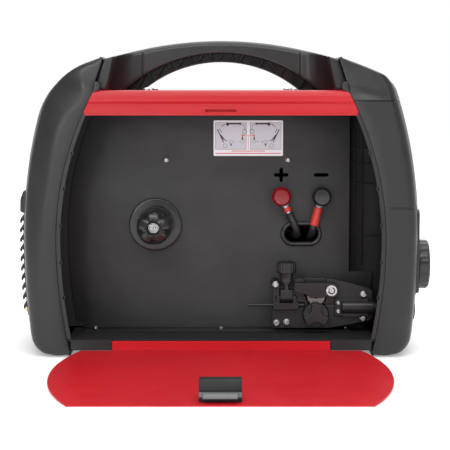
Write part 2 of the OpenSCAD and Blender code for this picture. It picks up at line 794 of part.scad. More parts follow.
module hub_spindle() {
    color(steel) at_origin() {
        rod_y(spindle_d, hub_y0 + 6, wall_back + 8, hub_x, hub_h);
        rod_y(spindle_d + 12, hub_y1 + 0.1, wall_face, hub_x, hub_h);
        translate([hub_x, wall_back + 5, hub_h]) rotate([90, 0, 0]) cylinder(d = 15, h = 5, $fn = 6);
    }
}

module hub_brake_spring() {
    color(steel) at_origin() translate([hub_x, spring_y0 + 0.1, hub_h]) rotate([-90, 0, 0])
        coil(spindle_d / 2 + 1, 0.8, 6, spring_y1 - spring_y0 - 0.2);
}

module hub_nut() {
    color(steel) at_origin() difference() {
        union() {
            rod_y(13.6, spring_y0 - 1.6, spring_y0, hub_x, hub_h);
            translate([hub_x, spring_y0 - 1.6, hub_h]) rotate([90, 0, 0]) cylinder(d = 13, h = 5, $fn = 6);
        }
        rod_y(spindle_d, hub_y0, hub_y0 + 30, hub_x, hub_h);
    }
}

module panel_grommet() {
    color(dark) at_origin() translate([grommet_x, 0, grommet_z]) difference() {
        union() {
            extrude_depth(wall_face - 2, wall_face) stadium(48.7, 29.7);
            extrude_depth(wall_face - 1, wall_back + 1) stadium(44 - 2 * run_gap, 25 - 2 * run_gap);
            extrude_depth(wall_back, wall_back + 3) stadium(48.7, 29.7);
        }
        extrude_depth(wall_face - 5, wall_back + 4) stadium(38.8, 18.6);
    }
}

bush_t = 4;
lug_t = 1.6;
lug_y0 = wall_face - bush_t - 1.2 - lug_t;
knob_y1 = lug_y0;
knob_y0 = knob_y1 - 18;
module terminal_studs() {
    color(steel) at_origin() for (x = [plus_x, minus_x]) {
        rod_y(stud_d, knob_y0 + 4, wall_back + 14, x, term_h);
        rod_y(13, wall_face - bush_t - 1.2, wall_face - bush_t, x, term_h);
        translate([x, wall_back + 9, term_h]) rotate([90, 0, 0]) cylinder(d = 11.5, h = 5, $fn = 6);
    }
}

module terminal_bushes() {
    color(dark) at_origin() for (x = [plus_x, minus_x]) difference() {
        union() {
            rod_y(20, wall_face - bush_t, wall_face, x, term_h);
            rod_y(12.4 - 2 * run_gap, wall_face - 1, wall_back + 1, x, term_h);
            rod_y(20, wall_back, wall_back + 4, x, term_h);
        }
        rod_y(stud_d + 2 * run_gap, wall_face - 10, wall_back + 10, x, term_h);
    }
}

// A round terminal nut: a flared skirt, a waist and a flat-faced head.
module terminal_knob(x) {
    at_origin() difference() {
        translate([x, knob_y1 - fit_gap, term_h]) rotate([90, 0, 0]) rotate_extrude()
            polygon([[0, 0], [term_knob_d / 2 - 1, 0], [term_knob_d / 2, 1], [term_knob_d / 2, 7],
                [term_knob_d / 2 - 1.2, 8.6], [term_knob_d / 2 - 2.2, 9.2], [term_knob_d / 2 - 2, 15.4],
                [term_knob_d / 2 - 3.2, 17], [0, 17.3]]);
        rod_y(stud_d + 2 * run_gap, knob_y0 + 3, knob_y1 + 1, x, term_h);
    }
}
module terminal_knob_red() { color(red) terminal_knob(plus_x); }
module terminal_knob_black() { color(dark) terminal_knob(minus_x); }

pos_dir = [6.2, -0.7, -13.2];
neg_dir = [-3.2, -0.62, -12.2];
lug_barrel_l = 9;
lug_start = 12.4;
function along(x, dir, s) = [x, lug_y0 + lug_t / 2, term_h] + s * dir / norm(dir);

// Ring lugs on the studs, each with a crimped barrel pointing along its lead.
module lead_lugs() {
    color(steel) at_origin() for (e = [[plus_x, pos_dir], [minus_x, neg_dir]]) difference() {
        union() {
            rod_y(14, lug_y0, lug_y0 + lug_t, e[0], term_h);
            translate([e[0], 0, term_h]) rotate([0, atan2(-e[1][2], e[1][0]), 0])
                box(0, lug_start + 1, lug_y0, lug_y0 + lug_t, -3.4, 3.4);
            tube_between(along(e[0], e[1], lug_start), along(e[0], e[1], lug_start + lug_barrel_l), 6.4);
        }
        rod_y(stud_d + 2 * run_gap, lug_y0 - 5, lug_y0 + 5, e[0], term_h);
    }
}

module tube_between(a, b, d) {
    v = b - a;
    translate(a) rotate([0, acos(v[2] / norm(v)), atan2(v[1], v[0])]) cylinder(d = d, h = norm(v));
}

sleeve_l = 22;
module lug_sleeve() {
    color([0.85, 0.2, 0.15]) at_origin() difference() {
        tube_between(along(minus_x, neg_dir, lug_start + 1.4),
            along(minus_x, neg_dir, lug_start + 1.4 + sleeve_l), lead_d + 1.6);
        tube_between(along(minus_x, neg_dir, lug_start + 1),
            along(minus_x, neg_dir, lug_start + lug_barrel_l), 6.4 + 2 * run_gap);
        tube_between(along(minus_x, neg_dir, lug_start + lug_barrel_l - 0.05),
            along(minus_x, neg_dir, lug_start + sleeve_l + 4), lead_d + 2 * run_gap);
    }
}

// Routes of the two leads, from the lug barrels through the grommet to the power parts.
lead_start = lug_start + lug_barrel_l;
pos_route = [along(plus_x, pos_dir, lead_start), along(plus_x, pos_dir, lead_start + 6),
    [86, 79, term_h - 32], [88.5, 79.5, term_h - 38.5], [90, 84.5, 134], [90, 93, 131.5],
    [86, 105, 132], [77, 115, 137], [66, 126, 144], [55, 133.2, 150.5], [41, 133.4, 157]];
neg_route = [along(minus_x, neg_dir, lead_start), along(minus_x, neg_dir, lead_start + 14.4),
    [108.5, 78.8, term_h - 37.5], [107.2, 84, 134.3], [106.5, 92, 131.5], [106, 104, 128], [104, 120, 119],
    [98, 138, 106], [90, 153, 95], [82, 165, 90], [74, 176, 88.6]];

function unit(v) = v / norm(v);
function tangents(p) =
    [for (k = [0:len(p) - 1]) unit(p[min(k + 1, len(p) - 1)] - p[max(k - 1, 0)])];
lead_sides = 10;
module swept_tube(p, r) {
    n = len(p);
    t = tangents(p);
    step = 360 / lead_sides;
    rings = [for (k = [0:n - 1]) let (u = unit(cross(t[k], [1, 0, 0.2])), v = cross(t[k], u))
        for (j = [0:lead_sides - 1]) p[k] + r * (cos(step * j) * u + sin(step * j) * v)];
    sides = [for (k = [0:n - 2], j = [0:lead_sides - 1])
        let (a = k * lead_sides + j, b = k * lead_sides + (j + 1) % lead_sides)
        each [[a, a + lead_sides, b], [b, a + lead_sides, b + lead_sides]]];
    caps = [[for (j = [0:lead_sides - 1]) j], [for (j = [lead_sides - 1:-1:0]) (n - 1) * lead_sides + j]];
    polyhedron(rings, concat(sides, caps));
}
module welding_lead_pos() { color(dark) at_origin() swept_tube(pos_route, lead_d / 2); }
module welding_lead_neg() { color(dark) at_origin() swept_tube(neg_route, lead_d / 2); }

// ---------- wire feeder ----------

body_t = 9;
feeder_screw_xz = [[63.7, 76.3], [64.8, 31], [166.6, 64.7], [166.2, 36.9]];
small_screw_xz = [[137, 55], [137, 45]];
brace_screw_xz = [76.8, 32];
feeder_back = feeder_face + body_t;
arm_pivot = [drive_x + 18.1, drive_h + 28.9];
tension_pivot = [drive_x - 34.2, drive_h + 19.2];
press_h = wire_h + press_d / 2 + 0.1;
gearbox_d = 34;
adaptor_z = wire_h - 2.5;

module feeder_body() {
    color(black) at_origin() difference() {
        union() {
            extrude_depth(feeder_face, feeder_back) feeder_outline_2d();
            for (p = feeder_screw_xz) rod_y(10, feeder_back - 0.5, wall_face, p[0], p[1]);
            rod_y(4.6, feeder_face - 5, feeder_face + 1, 71, wire_h);
            box(60.5, 90, feeder_face - 6, feeder_face + 1, wire_h - 5, wire_h + 4.5);
            for (x = [tension_pivot[0] - 11.6, tension_pivot[0] + 7.6])
                box(x, x + 3.6, feeder_face - 6, feeder_face + 1, wire_h, tension_pivot[1] + 3.6);
            box(133, 141.5, feeder_face - 3, feeder_face + 1, adaptor_z - 10.5, adaptor_z + 10.5);
            box(141.5, 172, feeder_face - 6, feeder_face + 1, adaptor_z - 11, adaptor_z + 11);
        }
        rod_y(wing_d + 1.6, feeder_face - 8, feeder_face + 3, drive_x, drive_h);
        rod_y(drive_d + 2.4, feeder_face - 1, feeder_face + 5.6, drive_x, drive_h);
        rod_y(11, feeder_face, feeder_back + 1, drive_x, drive_h);
        rod_y(press_d + 4, feeder_face - 8, feeder_face + 5.6, drive_x + 0.4, press_h);
        box(drive_x - 13.5, drive_x + 12.6, feeder_face - 8, feeder_face + 5.6, press_h, drive_h + 60);
        rod_y(8 + 2 * run_gap, feeder_face - 1, feeder_back + 1, arm_pivot[0], arm_pivot[1]);
        box(tension_pivot[0] - 8, tension_pivot[0] + 7.6, feeder_face - 7, feeder_face + 4.6,
            tension_pivot[1] - 5.6, tension_pivot[1] + 14);
        box(tension_pivot[0] - 9.2, tension_pivot[0] + 9.2, feeder_face - 7, feeder_back + 1,
            tension_pivot[1] + 14, drive_h + 60);
        rod_x(4, tension_pivot[0] - 12, tension_pivot[0] + 12, tens_y, tension_pivot[1]);
        rod_x(6 + 2 * run_gap, 55, 98, feeder_face - 1, wire_h);
        rod_x(adaptor_d + 2 * run_gap, 141.5, 180, feeder_face - 1, adaptor_z);
        rod_x(3, 120, 145, feeder_face - 1, wire_h);
        for (k = [2, 3]) rod_y(9.2, feeder_face - 8, feeder_face, feeder_screw_xz[k][0], feeder_screw_xz[k][1]);
        for (p = concat(feeder_screw_xz, small_screw_xz, [brace_screw_xz]))
            rod_y(4 + 2 * run_gap, feeder_face - 8, wall_face + 1, p[0], p[1]);
    }
}

module feeder_outline_2d() {
    polygon([[60, 27], [62, 25], [127, 25], [150, 29], [174, 34], [177, 37], [177, 69], [174, 72],
        [150, 78.5], [131, 83], [126, 83.5], [88, 83.5], [60, 80]]);
}

arm_y0 = feeder_face - 8;
arm_y1 = feeder_face - 0.4;
arm_left = tension_pivot[0] + 8.9;
module pressure_arm() {
    color(black) at_origin() difference() {
        extrude_depth(arm_y0, arm_y1) {
            polygon([[arm_left, drive_h + 37.5], [arm_left, drive_h + 27], [drive_x - 10, wire_h + 12.5],
                [drive_x - 7, wire_h + 9], [drive_x + 7, wire_h + 9], [arm_pivot[0] + 2, arm_pivot[1] - 6],
                [arm_pivot[0], arm_pivot[1] + 8], [drive_x + 8, drive_h + 38]]);
            translate(arm_pivot) circle(8.6);
        }
        rod_y(5 + 2 * run_gap, arm_y0 - 1, arm_y1 + 1, arm_pivot[0], arm_pivot[1]);
        rod_y(press_d + 1, feeder_face - 5.6, arm_y1 + 1, drive_x + 0.4, press_h);
    }
    color(steel) at_origin() rod_y(5, feeder_face - 6, feeder_face + 5, drive_x + 0.4, press_h);
}

module pressure_roller() {
    color(steel) at_origin() difference() {
        rod_y(press_d, feeder_face - 4.5, feeder_face - 0.2, drive_x + 0.4, press_h);
        rod_y(5 + 2 * run_gap, feeder_face - 8, feeder_face + 8, drive_x + 0.4, press_h);
    }
}

shaft_d = 6;
module drive_roller() {
    color(steel) at_origin() difference() {
        union() {
            rod_y(drive_d, feeder_face - 4.6, feeder_face + 5, drive_x, drive_h);
            rod_y(10, feeder_face + 4, feeder_face + 7.4, drive_x, drive_h);
            rod_y(shaft_d, feeder_face - 8.6, feeder_back + 8, drive_x, drive_h);
        }
        translate([drive_x, feeder_face - 1, drive_h]) rotate([90, 0, 0])
            rotate_extrude() translate([drive_d / 2 + 0.3, 0]) circle(0.8, $fn = 16);
    }
}

// Three-winged nut that holds the drive roller on its shaft.
module roller_knob() {
    color(dark) at_origin() translate([drive_x, feeder_face - 4.8, drive_h]) rotate([90, 0, 0])
        difference() {
            union() {
                cylinder(d = wing_d, h = 2.4);
                linear_extrude(10) intersection() {
                    circle(d = wing_d);
                    difference() {
                        circle(d = wing_d);
                        for (k = [0:2]) rotate(30 + 120 * k) translate([wing_d * 0.62, 0])
                            circle(d = wing_d * 0.72);
                    }
                }
            }
            translate([0, 0, -1]) cylinder(d = shaft_d + 2 * run_gap, h = 5);
        }
}

tens_y = feeder_face - 1;
sleeve_z0 = drive_h + 38;
cap_z0 = drive_h + 49.5;
module tension_knob() {
    color(dark) at_origin() translate([tension_pivot[0], tens_y, 0]) difference() {
        union() {
            rod_z(15, sleeve_z0, sleeve_z0 + 5, 0, 0);
            translate([0, 0, sleeve_z0 + 5]) cylinder(d1 = 15, d2 = 17, h = cap_z0 - sleeve_z0 - 5);
            translate([0, 0, cap_z0]) cylinder(d = cap_d, h = 11);
            translate([0, 0, cap_z0 + 11]) cylinder(d1 = cap_d, d2 = cap_d - 6, h = 2);
            translate([0, 0, cap_z0 + 13]) cylinder(d = 4, h = 2);
        }
        for (k = [0:17]) rotate(20 * k)
            translate([cap_d / 2 + 0.5, 0, cap_z0 + 1.6]) cylinder(d = 2.2, h = 12);
        rod_z(11, sleeve_z0 - 1, sleeve_z0 + 14, 0, 0);
        rod_z(5 + 2 * run_gap, sleeve_z0, cap_z0 + 9, 0, 0);
    }
}

module tension_bolt() {
    color(black) at_origin() translate([tension_pivot[0], tens_y, 0]) {
        rod_z(5, tension_pivot[1] + 8, cap_z0 + 8, 0, 0);
        rod_x(7, -7, 7, 0, tension_pivot[1]);
        box(-7, 7, -3.5, 3.5, tension_pivot[1], tension_pivot[1] + 10);
        rod_z(9.6, sleeve_z0 - 2.6, sleeve_z0 - 0.6, 0, 0);
        rod_z(6.4, tension_pivot[1] + 9, sleeve_z0 - 2, 0, 0);
        rod_x(4 - 2 * run_gap, -11, 11, 0, tension_pivot[1]);
    }
}

module tension_spring() {
    color(steel) at_origin() translate([tension_pivot[0], tens_y, sleeve_z0 - 0.5]) coil(4, 0.7, 7, 14.2);
}

module inlet_guide() {
    color(dark) at_origin() difference() {
        union() {
            rod_x(3.6, 30.5, 62, feeder_face - 1, wire_h);
            rod_x(6, 60.5, tension_pivot[0] - 8.4, feeder_face - 1, wire_h);
            rod_x(4.4, 60.5, 97, feeder_face - 1, wire_h);
            rod_x(6, tension_pivot[0] + 8, 90, feeder_face - 1, wire_h);
        }
        rod_x(1.8, 30, 98, feeder_face - 1, wire_h);
    }
}

module torch_adaptor() {
    color(dark) at_origin() difference() {
        union() {
            rod_x(adaptor_d, 141.6, 178, feeder_face - 1, adaptor_z);
            rod_x(12, 177, half_l - 16, feeder_face - 1, adaptor_z);
        }
        rod_x(5, 140, half_l, feeder_face - 1, adaptor_z);
    }
}

module feeder_screws() {
    color(steel) at_origin() {
        for (p = feeder_screw_xz) facing_door(p[0], feeder_face, p[1]) pan_screw(8.4, 4, feeder_l + 4);
        facing_door(brace_screw_xz[0], feeder_face, brace_screw_xz[1]) pan_screw(8.4, 4, body_t - 1);
        for (p = small_screw_xz) facing_door(p[0], feeder_face - 3, p[1]) pan_screw(5.4, 3, body_t);
    }
}

module arm_pivot_screw() {
    color(steel) at_origin() {
        facing_door(arm_pivot[0], arm_y0 - 1.3, arm_pivot[1]) pan_screw(8.4, 5, 18);
        facing_door(arm_pivot[0], arm_y0 - 0.1, arm_pivot[1]) cylinder(d = 12.4, h = 1.2);
        rod_y(8, feeder_face - 0.3, feeder_back, arm_pivot[0], arm_pivot[1]);
    }
}

module feed_motor() {
    color(steel) at_origin() difference() {
        feed_motor_body();
        rod_y(shaft_d + 2 * run_gap, feeder_back - 1, feeder_back + 9, drive_x, drive_h);
    }
}

module feed_motor_body() {
    union() {
        rod_y(gearbox_d, feeder_back, wall_face, drive_x, drive_h);
        rod_y(11.6, wall_face - 1, wall_back + 1, drive_x, drive_h);
        rod_y(motor_d, wall_back, wall_back + 62, drive_x, drive_h);
        rod_y(12, wall_back + 61, wall_back + 66, drive_x, drive_h);
    }
}

// ---------- power parts behind the centre panel ----------

core_x = -62;
core_y = wall_back + 72;
core_t = 62;
coil_d = 92;
window_w = 22;
module transformer_core() {
    color([0.35, 0.35, 0.37]) at_origin() translate([core_x, core_y, floor_h]) difference() {
        translate([-core_l / 2, -core_t / 2, 0]) cube([core_l, core_t, core_h]);
        for (s = [-1, 1]) translate([s * core_l / 4 - window_w / 2, -core_t / 2 - 1, 20])
            cube([window_w, core_t + 2, core_h - 40]);
    }
}

module transformer_coils() {
    color(copper) at_origin() translate([core_x, core_y, floor_h + 20 + fit_gap]) difference() {
        translate([0, 0, 0]) linear_extrude(core_h - 40 - 2 * fit_gap)
            round_rect(core_l / 2 + window_w - 2 * fit_gap, coil_d, 6);
        translate([-core_l / 4 + window_w / 2 - fit_gap, -core_t / 2 - fit_gap, -1])
            cube([core_l / 2 - window_w + 2 * fit_gap, core_t + 2 * fit_gap, core_h]);
    }
}

choke_x = 54;
module output_choke() {
    color(copper) at_origin() translate([choke_x, core_y + 24, floor_h]) difference() {
        union() {
            translate([-30, -24, 0]) cube([60, 48, 64]);
            translate([-16, -34, 12]) cube([32, 68, 40]);
        }
        for (s = [-1, 1]) translate([s * 24 - 4, -25, 12]) cube([8, 50, 40]);
    }
}

stack_z = 168;
module rectifier_stack() {
    color([0.8, 0.8, 0.82]) at_origin() {
        box(0, 56, wall_back, wall_back + 5, stack_z, stack_z + 90);
        for (k = [0:8]) box(k * 6.7, k * 6.7 + 2, wall_back + 4, wall_back + 36, stack_z, stack_z + 90);
        for (x = [14, 34]) rod_y(12.7, wall_back + 35, wall_back + 42, x + 7, stack_z + 45);
        box(37, 50, wall_back + 33, wall_back + 39.6, stack_z - 22, stack_z + 4);
    }
}

fan_z = 106;
fan_y = 158;
fan_x = 186;
hub_fan_d = 34;
motor_fan_d = 42;
leg_z = foot_h + shell_t + steel_t;

module fan_motor() {
    color(dark) at_origin() mirror([1, 0, 0]) {
        difference() {
            union() {
                rod_x(fan_d + 20, fan_x + 8, fan_x + 10, fan_y, fan_z);
                for (y = [fan_y - 50, fan_y + 20]) box(fan_x + 8, fan_x + 10, y, y + 12, leg_z, fan_z - 40);
            }
            rod_x(fan_d + 6, fan_x, fan_x + 20, fan_y, fan_z);
        }
        extrude_length(fan_x - 6, fan_x - 4) translate([fan_y, fan_z])
            for (a = [0, 60, 120]) rotate(a) square([fan_d + 10, 4], center = true);
        for (a = [0:60:300]) translate([fan_x - 6, fan_y, fan_z]) rotate([a, 0, 0])
            translate([0, fan_d / 2 + 2, -2]) cube([15.2, 3, 4]);
        rod_x(motor_fan_d, fan_x - 34, fan_x - 5, fan_y, fan_z);
        rod_x(5, fan_x - 5, fan_x + 14, fan_y, fan_z);
    }
}

module fan_blades() {
    color(dark) at_origin() mirror([1, 0, 0]) difference() {
        union() {
            rod_x(hub_fan_d, fan_x - 3, fan_x + 12, fan_y, fan_z);
            intersection() {
                for (k = [0:6]) translate([fan_x + 4.5, fan_y, fan_z]) rotate([k * 360 / 7, 0, 0])
                    translate([0, 0, hub_fan_d / 2 - 3]) rotate([0, 0, 28])
                        translate([-1, -11, 0]) cube([2, 22, fan_d / 2 - hub_fan_d / 2 + 3]);
                rod_x(fan_d - 1, fan_x - 3, fan_x + 12, fan_y, fan_z);
            }
        }
        rod_x(5 + 2 * run_gap, fan_x - 10, fan_x + 20, fan_y, fan_z);
    }
}

// ---------- fittings on the ends ----------

board_x = plate_seat_x - shell_t - 12;
board_y0 = 102;
board_y1 = case_d - 40;
module board_posts() {
    for (y = [board_y0 + 5, board_y1 - 5], z = [plate_z0 + 10, plate_z1 - 10])
        rod_x(6, board_x + 1.6, plate_seat_x - shell_t + 0.1, y, z);
}

module control_board() {
    color([0.1, 0.35, 0.2]) at_origin() {
        box(board_x, board_x + 1.6, board_y0, board_y1, plate_z0 + 4, plate_z1 - 4);
        box(board_x - 18, board_x, board_y0 + 12, board_y0 + 34, plate_z0 + 30, plate_z0 + 60);
        box(board_x - 12, board_x, board_y0 + 50, board_y0 + 66, plate_z0 + 20, plate_z0 + 48);
        for (k = [0:2]) rod_x(10, board_x - 16, board_x, board_y0 + 18 + 16 * k, plate_z0 + 80);
        rod_x(17, board_x + 1.5, plate_face_x + knob_gap - 12 - fit_gap, speed_y, knob_h);
    }
}

mains_y = case_d - 39;
mains_z = 33;
gas_y = 150;
gas_z = 34;
gas_seat_d = 12;
torch_y = feeder_face - 1;
earth_y = 150;
gland_z = 40;

// Outer x of the end wall at depth y and height z.
function rim_out(d) =
    let (e = min(d, case_d - d))
    e > 0.38 * case_d ? crown
    : e > 0.2 * case_d ? crown * (0.65 + 0.35 * (e / case_d - 0.2) / 0.18)
    : e > 14 ? crown * 0.65 * (e - 14) / (0.2 * case_d - 14)
    : e - 14;
function wall_x(y, z) =
    let (r = (z > waist_h ? end_r_up : end_r_low) + rim_out(y), cx = z > waist_h ? up_cx : low_cx)
    cx + sqrt(r * r - pow(z - waist_h, 2));
boss_rise = 2;
gas_x = wall_x(gas_y, gas_z);

// Flat seat on the outside of an end wall, for a gland or a gas inlet.
module boss(d, y, z) {
    rod_x(d, wall_x(y, z) - 4.5, wall_x(y, z) + boss_rise, y, z);
}

// A cable gland along +X whose flange seats on a boss of the end wall: nut inside, cap outside.
module gland(bore, y, z, cap_l) {
    seat = wall_x(y, z) + boss_rise;
    difference() {
        union() {
            rod_x(bore + 14, seat, seat + 3, y, z);
            rod_x(bore + 7, seat - 15, seat + 1, y, z);
            translate([seat + 3, y, z]) rotate([0, 90, 0]) cylinder(d1 = bore + 11, d2 = bore + 5, h = cap_l);
            translate([seat - boss_rise - 10.2, y, z]) rotate([0, 90, 0])
                cylinder(d = bore + 15, h = 5, $fn = 6);
        }
        rod_x(bore, seat - 30, seat + 30, y, z);
    }
}

module mains_gland() {
    color(dark) at_origin() mirror([1, 0, 0]) gland(mains_bore_d, mains_y, mains_z, 4);
}
module torch_gland() { color(dark) at_origin() gland(torch_bore_d, torch_y, adaptor_z, 4); }
module earth_gland() { color(dark) at_origin() gland(earth_bore_d, earth_y, gland_z, 4); }

module gas_valve() {
    color([0.75, 0.6, 0.3]) at_origin() mirror([1, 0, 0]) {
        box(146, 178, gas_y - 10, gas_y + 10, floor_h, floor_h + 26);
        box(150, 174, gas_y - 9, gas_y + 9, floor_h + 25, floor_h + 50);
    }
}

module gas_inlet() {
    color([0.75, 0.6, 0.3]) at_origin() mirror([1, 0, 0]) difference() {
        union() {
            rod_x(gas_seat_d - 4, 178, gas_x, gas_y, gas_z);
            rod_x(gas_seat_d, gas_x - 9, gas_x + boss_rise + 1, gas_y, gas_z);
            rod_x(gas_seat_d + 4, gas_x + boss_rise, gas_x + boss_rise + 3, gas_y, gas_z);
            rod_x(6.4, half_l, louvre_reach - 0.4, gas_y, gas_z);
        }
        rod_x(3.4, 179, far_x, gas_y, gas_z);
    }
}

speed_y = case_d - 85;
selector_y = 56;
switch_y = case_d - 51;
lamp_y = switch_y;
switch_z = 88;
lamp_z = 124;
module control_plate() {
    color(black) at_origin() difference() {
        extrude_length(plate_seat_x, plate_face_x) plate_2d(fit_gap);
        control_holes(plate_seat_x - 1, plate_face_x + 1);
    }
}

module control_holes(x0, x1) {
    rod_x(8 + 2 * run_gap, x0, x1, selector_y, knob_h);
    rod_x(7 + 2 * run_gap, x0, x1, speed_y, knob_h);
    rod_x(10 + 2 * run_gap, x0, x1, lamp_y, lamp_z);
    box(x0, x1, switch_y - 7.5, switch_y + 7.5, switch_z - 11, switch_z + 11);
}

// A fluted knob along +X with its stem through the control plate.
module fluted_knob(d, l, y, z, stem_d, stem_l, flutes) {
    translate([plate_face_x + knob_gap, y, z]) rotate([0, 90, 0]) {
        difference() {
            union() {
                cylinder(d = d, h = l - 2);
                translate([0, 0, l - 2]) cylinder(d1 = d, d2 = d - 4, h = 2);
            }
            for (k = [0:flutes - 1]) rotate(k * 360 / flutes) translate([d / 2 + 1.4, 0, 2])
                cylinder(d = 5, h = l);
            translate([-d / 2 + 3, -0.8, l - 0.6]) cube([d / 3, 1.6, 2]);
        }
        translate([0, 0, -stem_l]) cylinder(d = stem_d, h = stem_l + 1);
    }
}

module selector_knob() {
    color(dark) at_origin()
        fluted_knob(selector_d, selector_tip_x - plate_face_x - knob_gap, selector_y, knob_h, 8, 12, 20);
}
module speed_knob() {
    color(dark) at_origin() fluted_knob(speed_d, 10, speed_y, knob_h, 7, 12, 14);
}

module power_switch() {
    color(dark) at_origin() translate([plate_face_x - 2, switch_y, switch_z]) rotate([90, 0, 0]) {
        linear_extrude(14.4, center = true)
            polygon([[-6, -8], [0, -10.4], [3.2, -10.4], [3.2, -1], [6, 10.2], [0, 10.2], [-6, 8]]);
        translate([0, 0, -7.4]) cylinder(d = 2.4, h = 14.8);
    }
}

module indicator_lamp() {
    color([0.9, 0.5, 0.1]) at_origin() {
        rod_x(10, plate_seat_x - 10, plate_face_x + 0.6, lamp_y, lamp_z);
        translate([plate_face_x + 0.4, lamp_y, lamp_z]) rotate([0, 90, 0]) cylinder(d1 = 9, d2 = 6, h = 3);
    }
}

rear_shell();
front_shell();
carry_handle();
top_cover();
base_pan();
centre_panel();
side_door();
latch_housing();
latch_tongue();
latch_spring();
hinge_brackets();
hinge_screws();
rubber_feet();
shell_screws();
cover_screws();
panel_screws();
polarity_label();
spool_hub();
hub_spindle();
hub_brake_spring();
hub_nut();
panel_grommet();
terminal_studs();
terminal_bushes();
terminal_knob_red();
terminal_knob_black();
lead_lugs();
lug_sleeve();
welding_lead_pos();
welding_lead_neg();
feeder_body();
pressure_arm();
pressure_roller();
drive_roller();
roller_knob();
tension_knob();
tension_bolt();
tension_spring();
inlet_guide();
torch_adaptor();
feeder_screws();
arm_pivot_screw();
feed_motor();
transformer_core();
transformer_coils();
output_choke();
rectifier_stack();
fan_motor();
fan_blades();
control_board();
gas_valve();
gas_inlet();
mains_gland();
torch_gland();
earth_gland();
control_plate();
power_switch();
selector_knob();
speed_knob();
indicator_lamp();
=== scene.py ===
import json
import math

import bmesh
import bpy
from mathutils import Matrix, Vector


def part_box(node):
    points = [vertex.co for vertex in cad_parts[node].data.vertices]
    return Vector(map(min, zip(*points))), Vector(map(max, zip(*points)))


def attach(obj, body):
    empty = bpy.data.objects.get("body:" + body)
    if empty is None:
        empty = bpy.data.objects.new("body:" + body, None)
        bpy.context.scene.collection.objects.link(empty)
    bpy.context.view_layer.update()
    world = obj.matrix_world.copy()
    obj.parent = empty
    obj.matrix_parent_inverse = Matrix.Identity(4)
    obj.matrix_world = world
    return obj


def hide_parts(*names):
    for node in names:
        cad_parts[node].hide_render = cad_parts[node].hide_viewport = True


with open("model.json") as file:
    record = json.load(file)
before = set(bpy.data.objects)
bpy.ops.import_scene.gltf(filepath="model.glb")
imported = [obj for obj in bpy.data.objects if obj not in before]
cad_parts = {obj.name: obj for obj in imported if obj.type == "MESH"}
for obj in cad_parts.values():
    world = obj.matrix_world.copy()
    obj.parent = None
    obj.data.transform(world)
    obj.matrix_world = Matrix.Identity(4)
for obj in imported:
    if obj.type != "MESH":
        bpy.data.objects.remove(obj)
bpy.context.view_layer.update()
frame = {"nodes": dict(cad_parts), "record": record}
MM = 0.001
Y0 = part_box("rear_shell")[0].y


def P(x, d, z):
    """Point x right of the middle, d behind the front face and z up, in mm."""
    return Vector((x * MM, Y0 + d * MM, z * MM))


# ---------- materials ----------

def new_mat(name):
    m = bpy.data.materials.new(name)
    m.use_nodes = True
    nt = m.node_tree
    return m, nt, nt.nodes["Principled BSDF"]


def noise(nt, scale, detail=3.0, rough=0.5, stretch=None):
    tc = nt.nodes.new("ShaderNodeTexCoord")
    n = nt.nodes.new("ShaderNodeTexNoise")
    n.inputs["Scale"].default_value = scale
    n.inputs["Detail"].default_value = detail
    n.inputs["Roughness"].default_value = rough
    if stretch:
        mp = nt.nodes.new("ShaderNodeMapping")
        mp.inputs["Scale"].default_value = stretch
        nt.links.new(tc.outputs["Object"], mp.inputs["Vector"])
        nt.links.new(mp.outputs["Vector"], n.inputs["Vector"])
    else:
        nt.links.new(tc.outputs["Object"], n.inputs["Vector"])
    return n.outputs["Fac"]


def ramp(nt, fac, stops):
    r = nt.nodes.new("ShaderNodeValToRGB")
    e = r.color_ramp.elements
    while len(e) < len(stops):
        e.new(0.5)
    for k, (pos, col) in enumerate(stops):
        e[k].position = pos
        e[k].color = col if len(col) == 4 else (*col, 1)
    nt.links.new(fac, r.inputs["Fac"])
    return r.outputs["Color"]


def to_range(nt, fac, lo, hi, a=0.3, b=0.7, kind="LINEAR"):
    """Maps fac from a..b to lo..hi."""
    m = nt.nodes.new("ShaderNodeMapRange")
    m.interpolation_type = kind
    for key, v in (("From Min", a), ("From Max", b), ("To Min", lo), ("To Max", hi)):
        m.inputs[key].default_value = v
    nt.links.new(fac, m.inputs["Value"])
    return m.outputs["Result"]


def bump(nt, bsdf, height, strength, dist, edge=0.0):
    b = nt.nodes.new("ShaderNodeBump")
    b.inputs["Strength"].default_value = strength
    b.inputs["Distance"].default_value = dist
    nt.links.new(height, b.inputs["Height"])
    if edge:
        e = nt.nodes.new("ShaderNodeBevel")
        e.samples = 4
        e.inputs["Radius"].default_value = edge
        nt.links.new(e.outputs["Normal"], b.inputs["Normal"])
    nt.links.new(b.outputs["Normal"], bsdf.inputs["Normal"])


def shade(c, k):
    return tuple(min(1.0, v * k) for v in c)


def tinted(name, col, spots, dark, light):
    """New material whose colour runs softly from dark to light times col."""
    m, nt, b = new_mat(name)
    nt.links.new(ramp(nt, noise(nt, *spots), [(0.3, shade(col, dark)), (0.7, shade(col, light))]),
                 b.inputs["Base Color"])
    return m, nt, b


def plastic(name, col, rough=0.42, grain=2600, depth=0.00005, spread=0.12, spec=0.5, edge=0.0006):
    """Moulded plastic: a fine spark-eroded grain, slightly uneven gloss and colour."""
    m, nt, b = tinted(name, col, (14, 4), 1 - spread, 1 + spread)
    nt.links.new(to_range(nt, noise(nt, 60, 5), rough - 0.05, rough + 0.06), b.inputs["Roughness"])
    b.inputs["Specular IOR Level"].default_value = spec
    bump(nt, b, noise(nt, grain, 2, 0.6), 0.35, depth, edge)
    return m


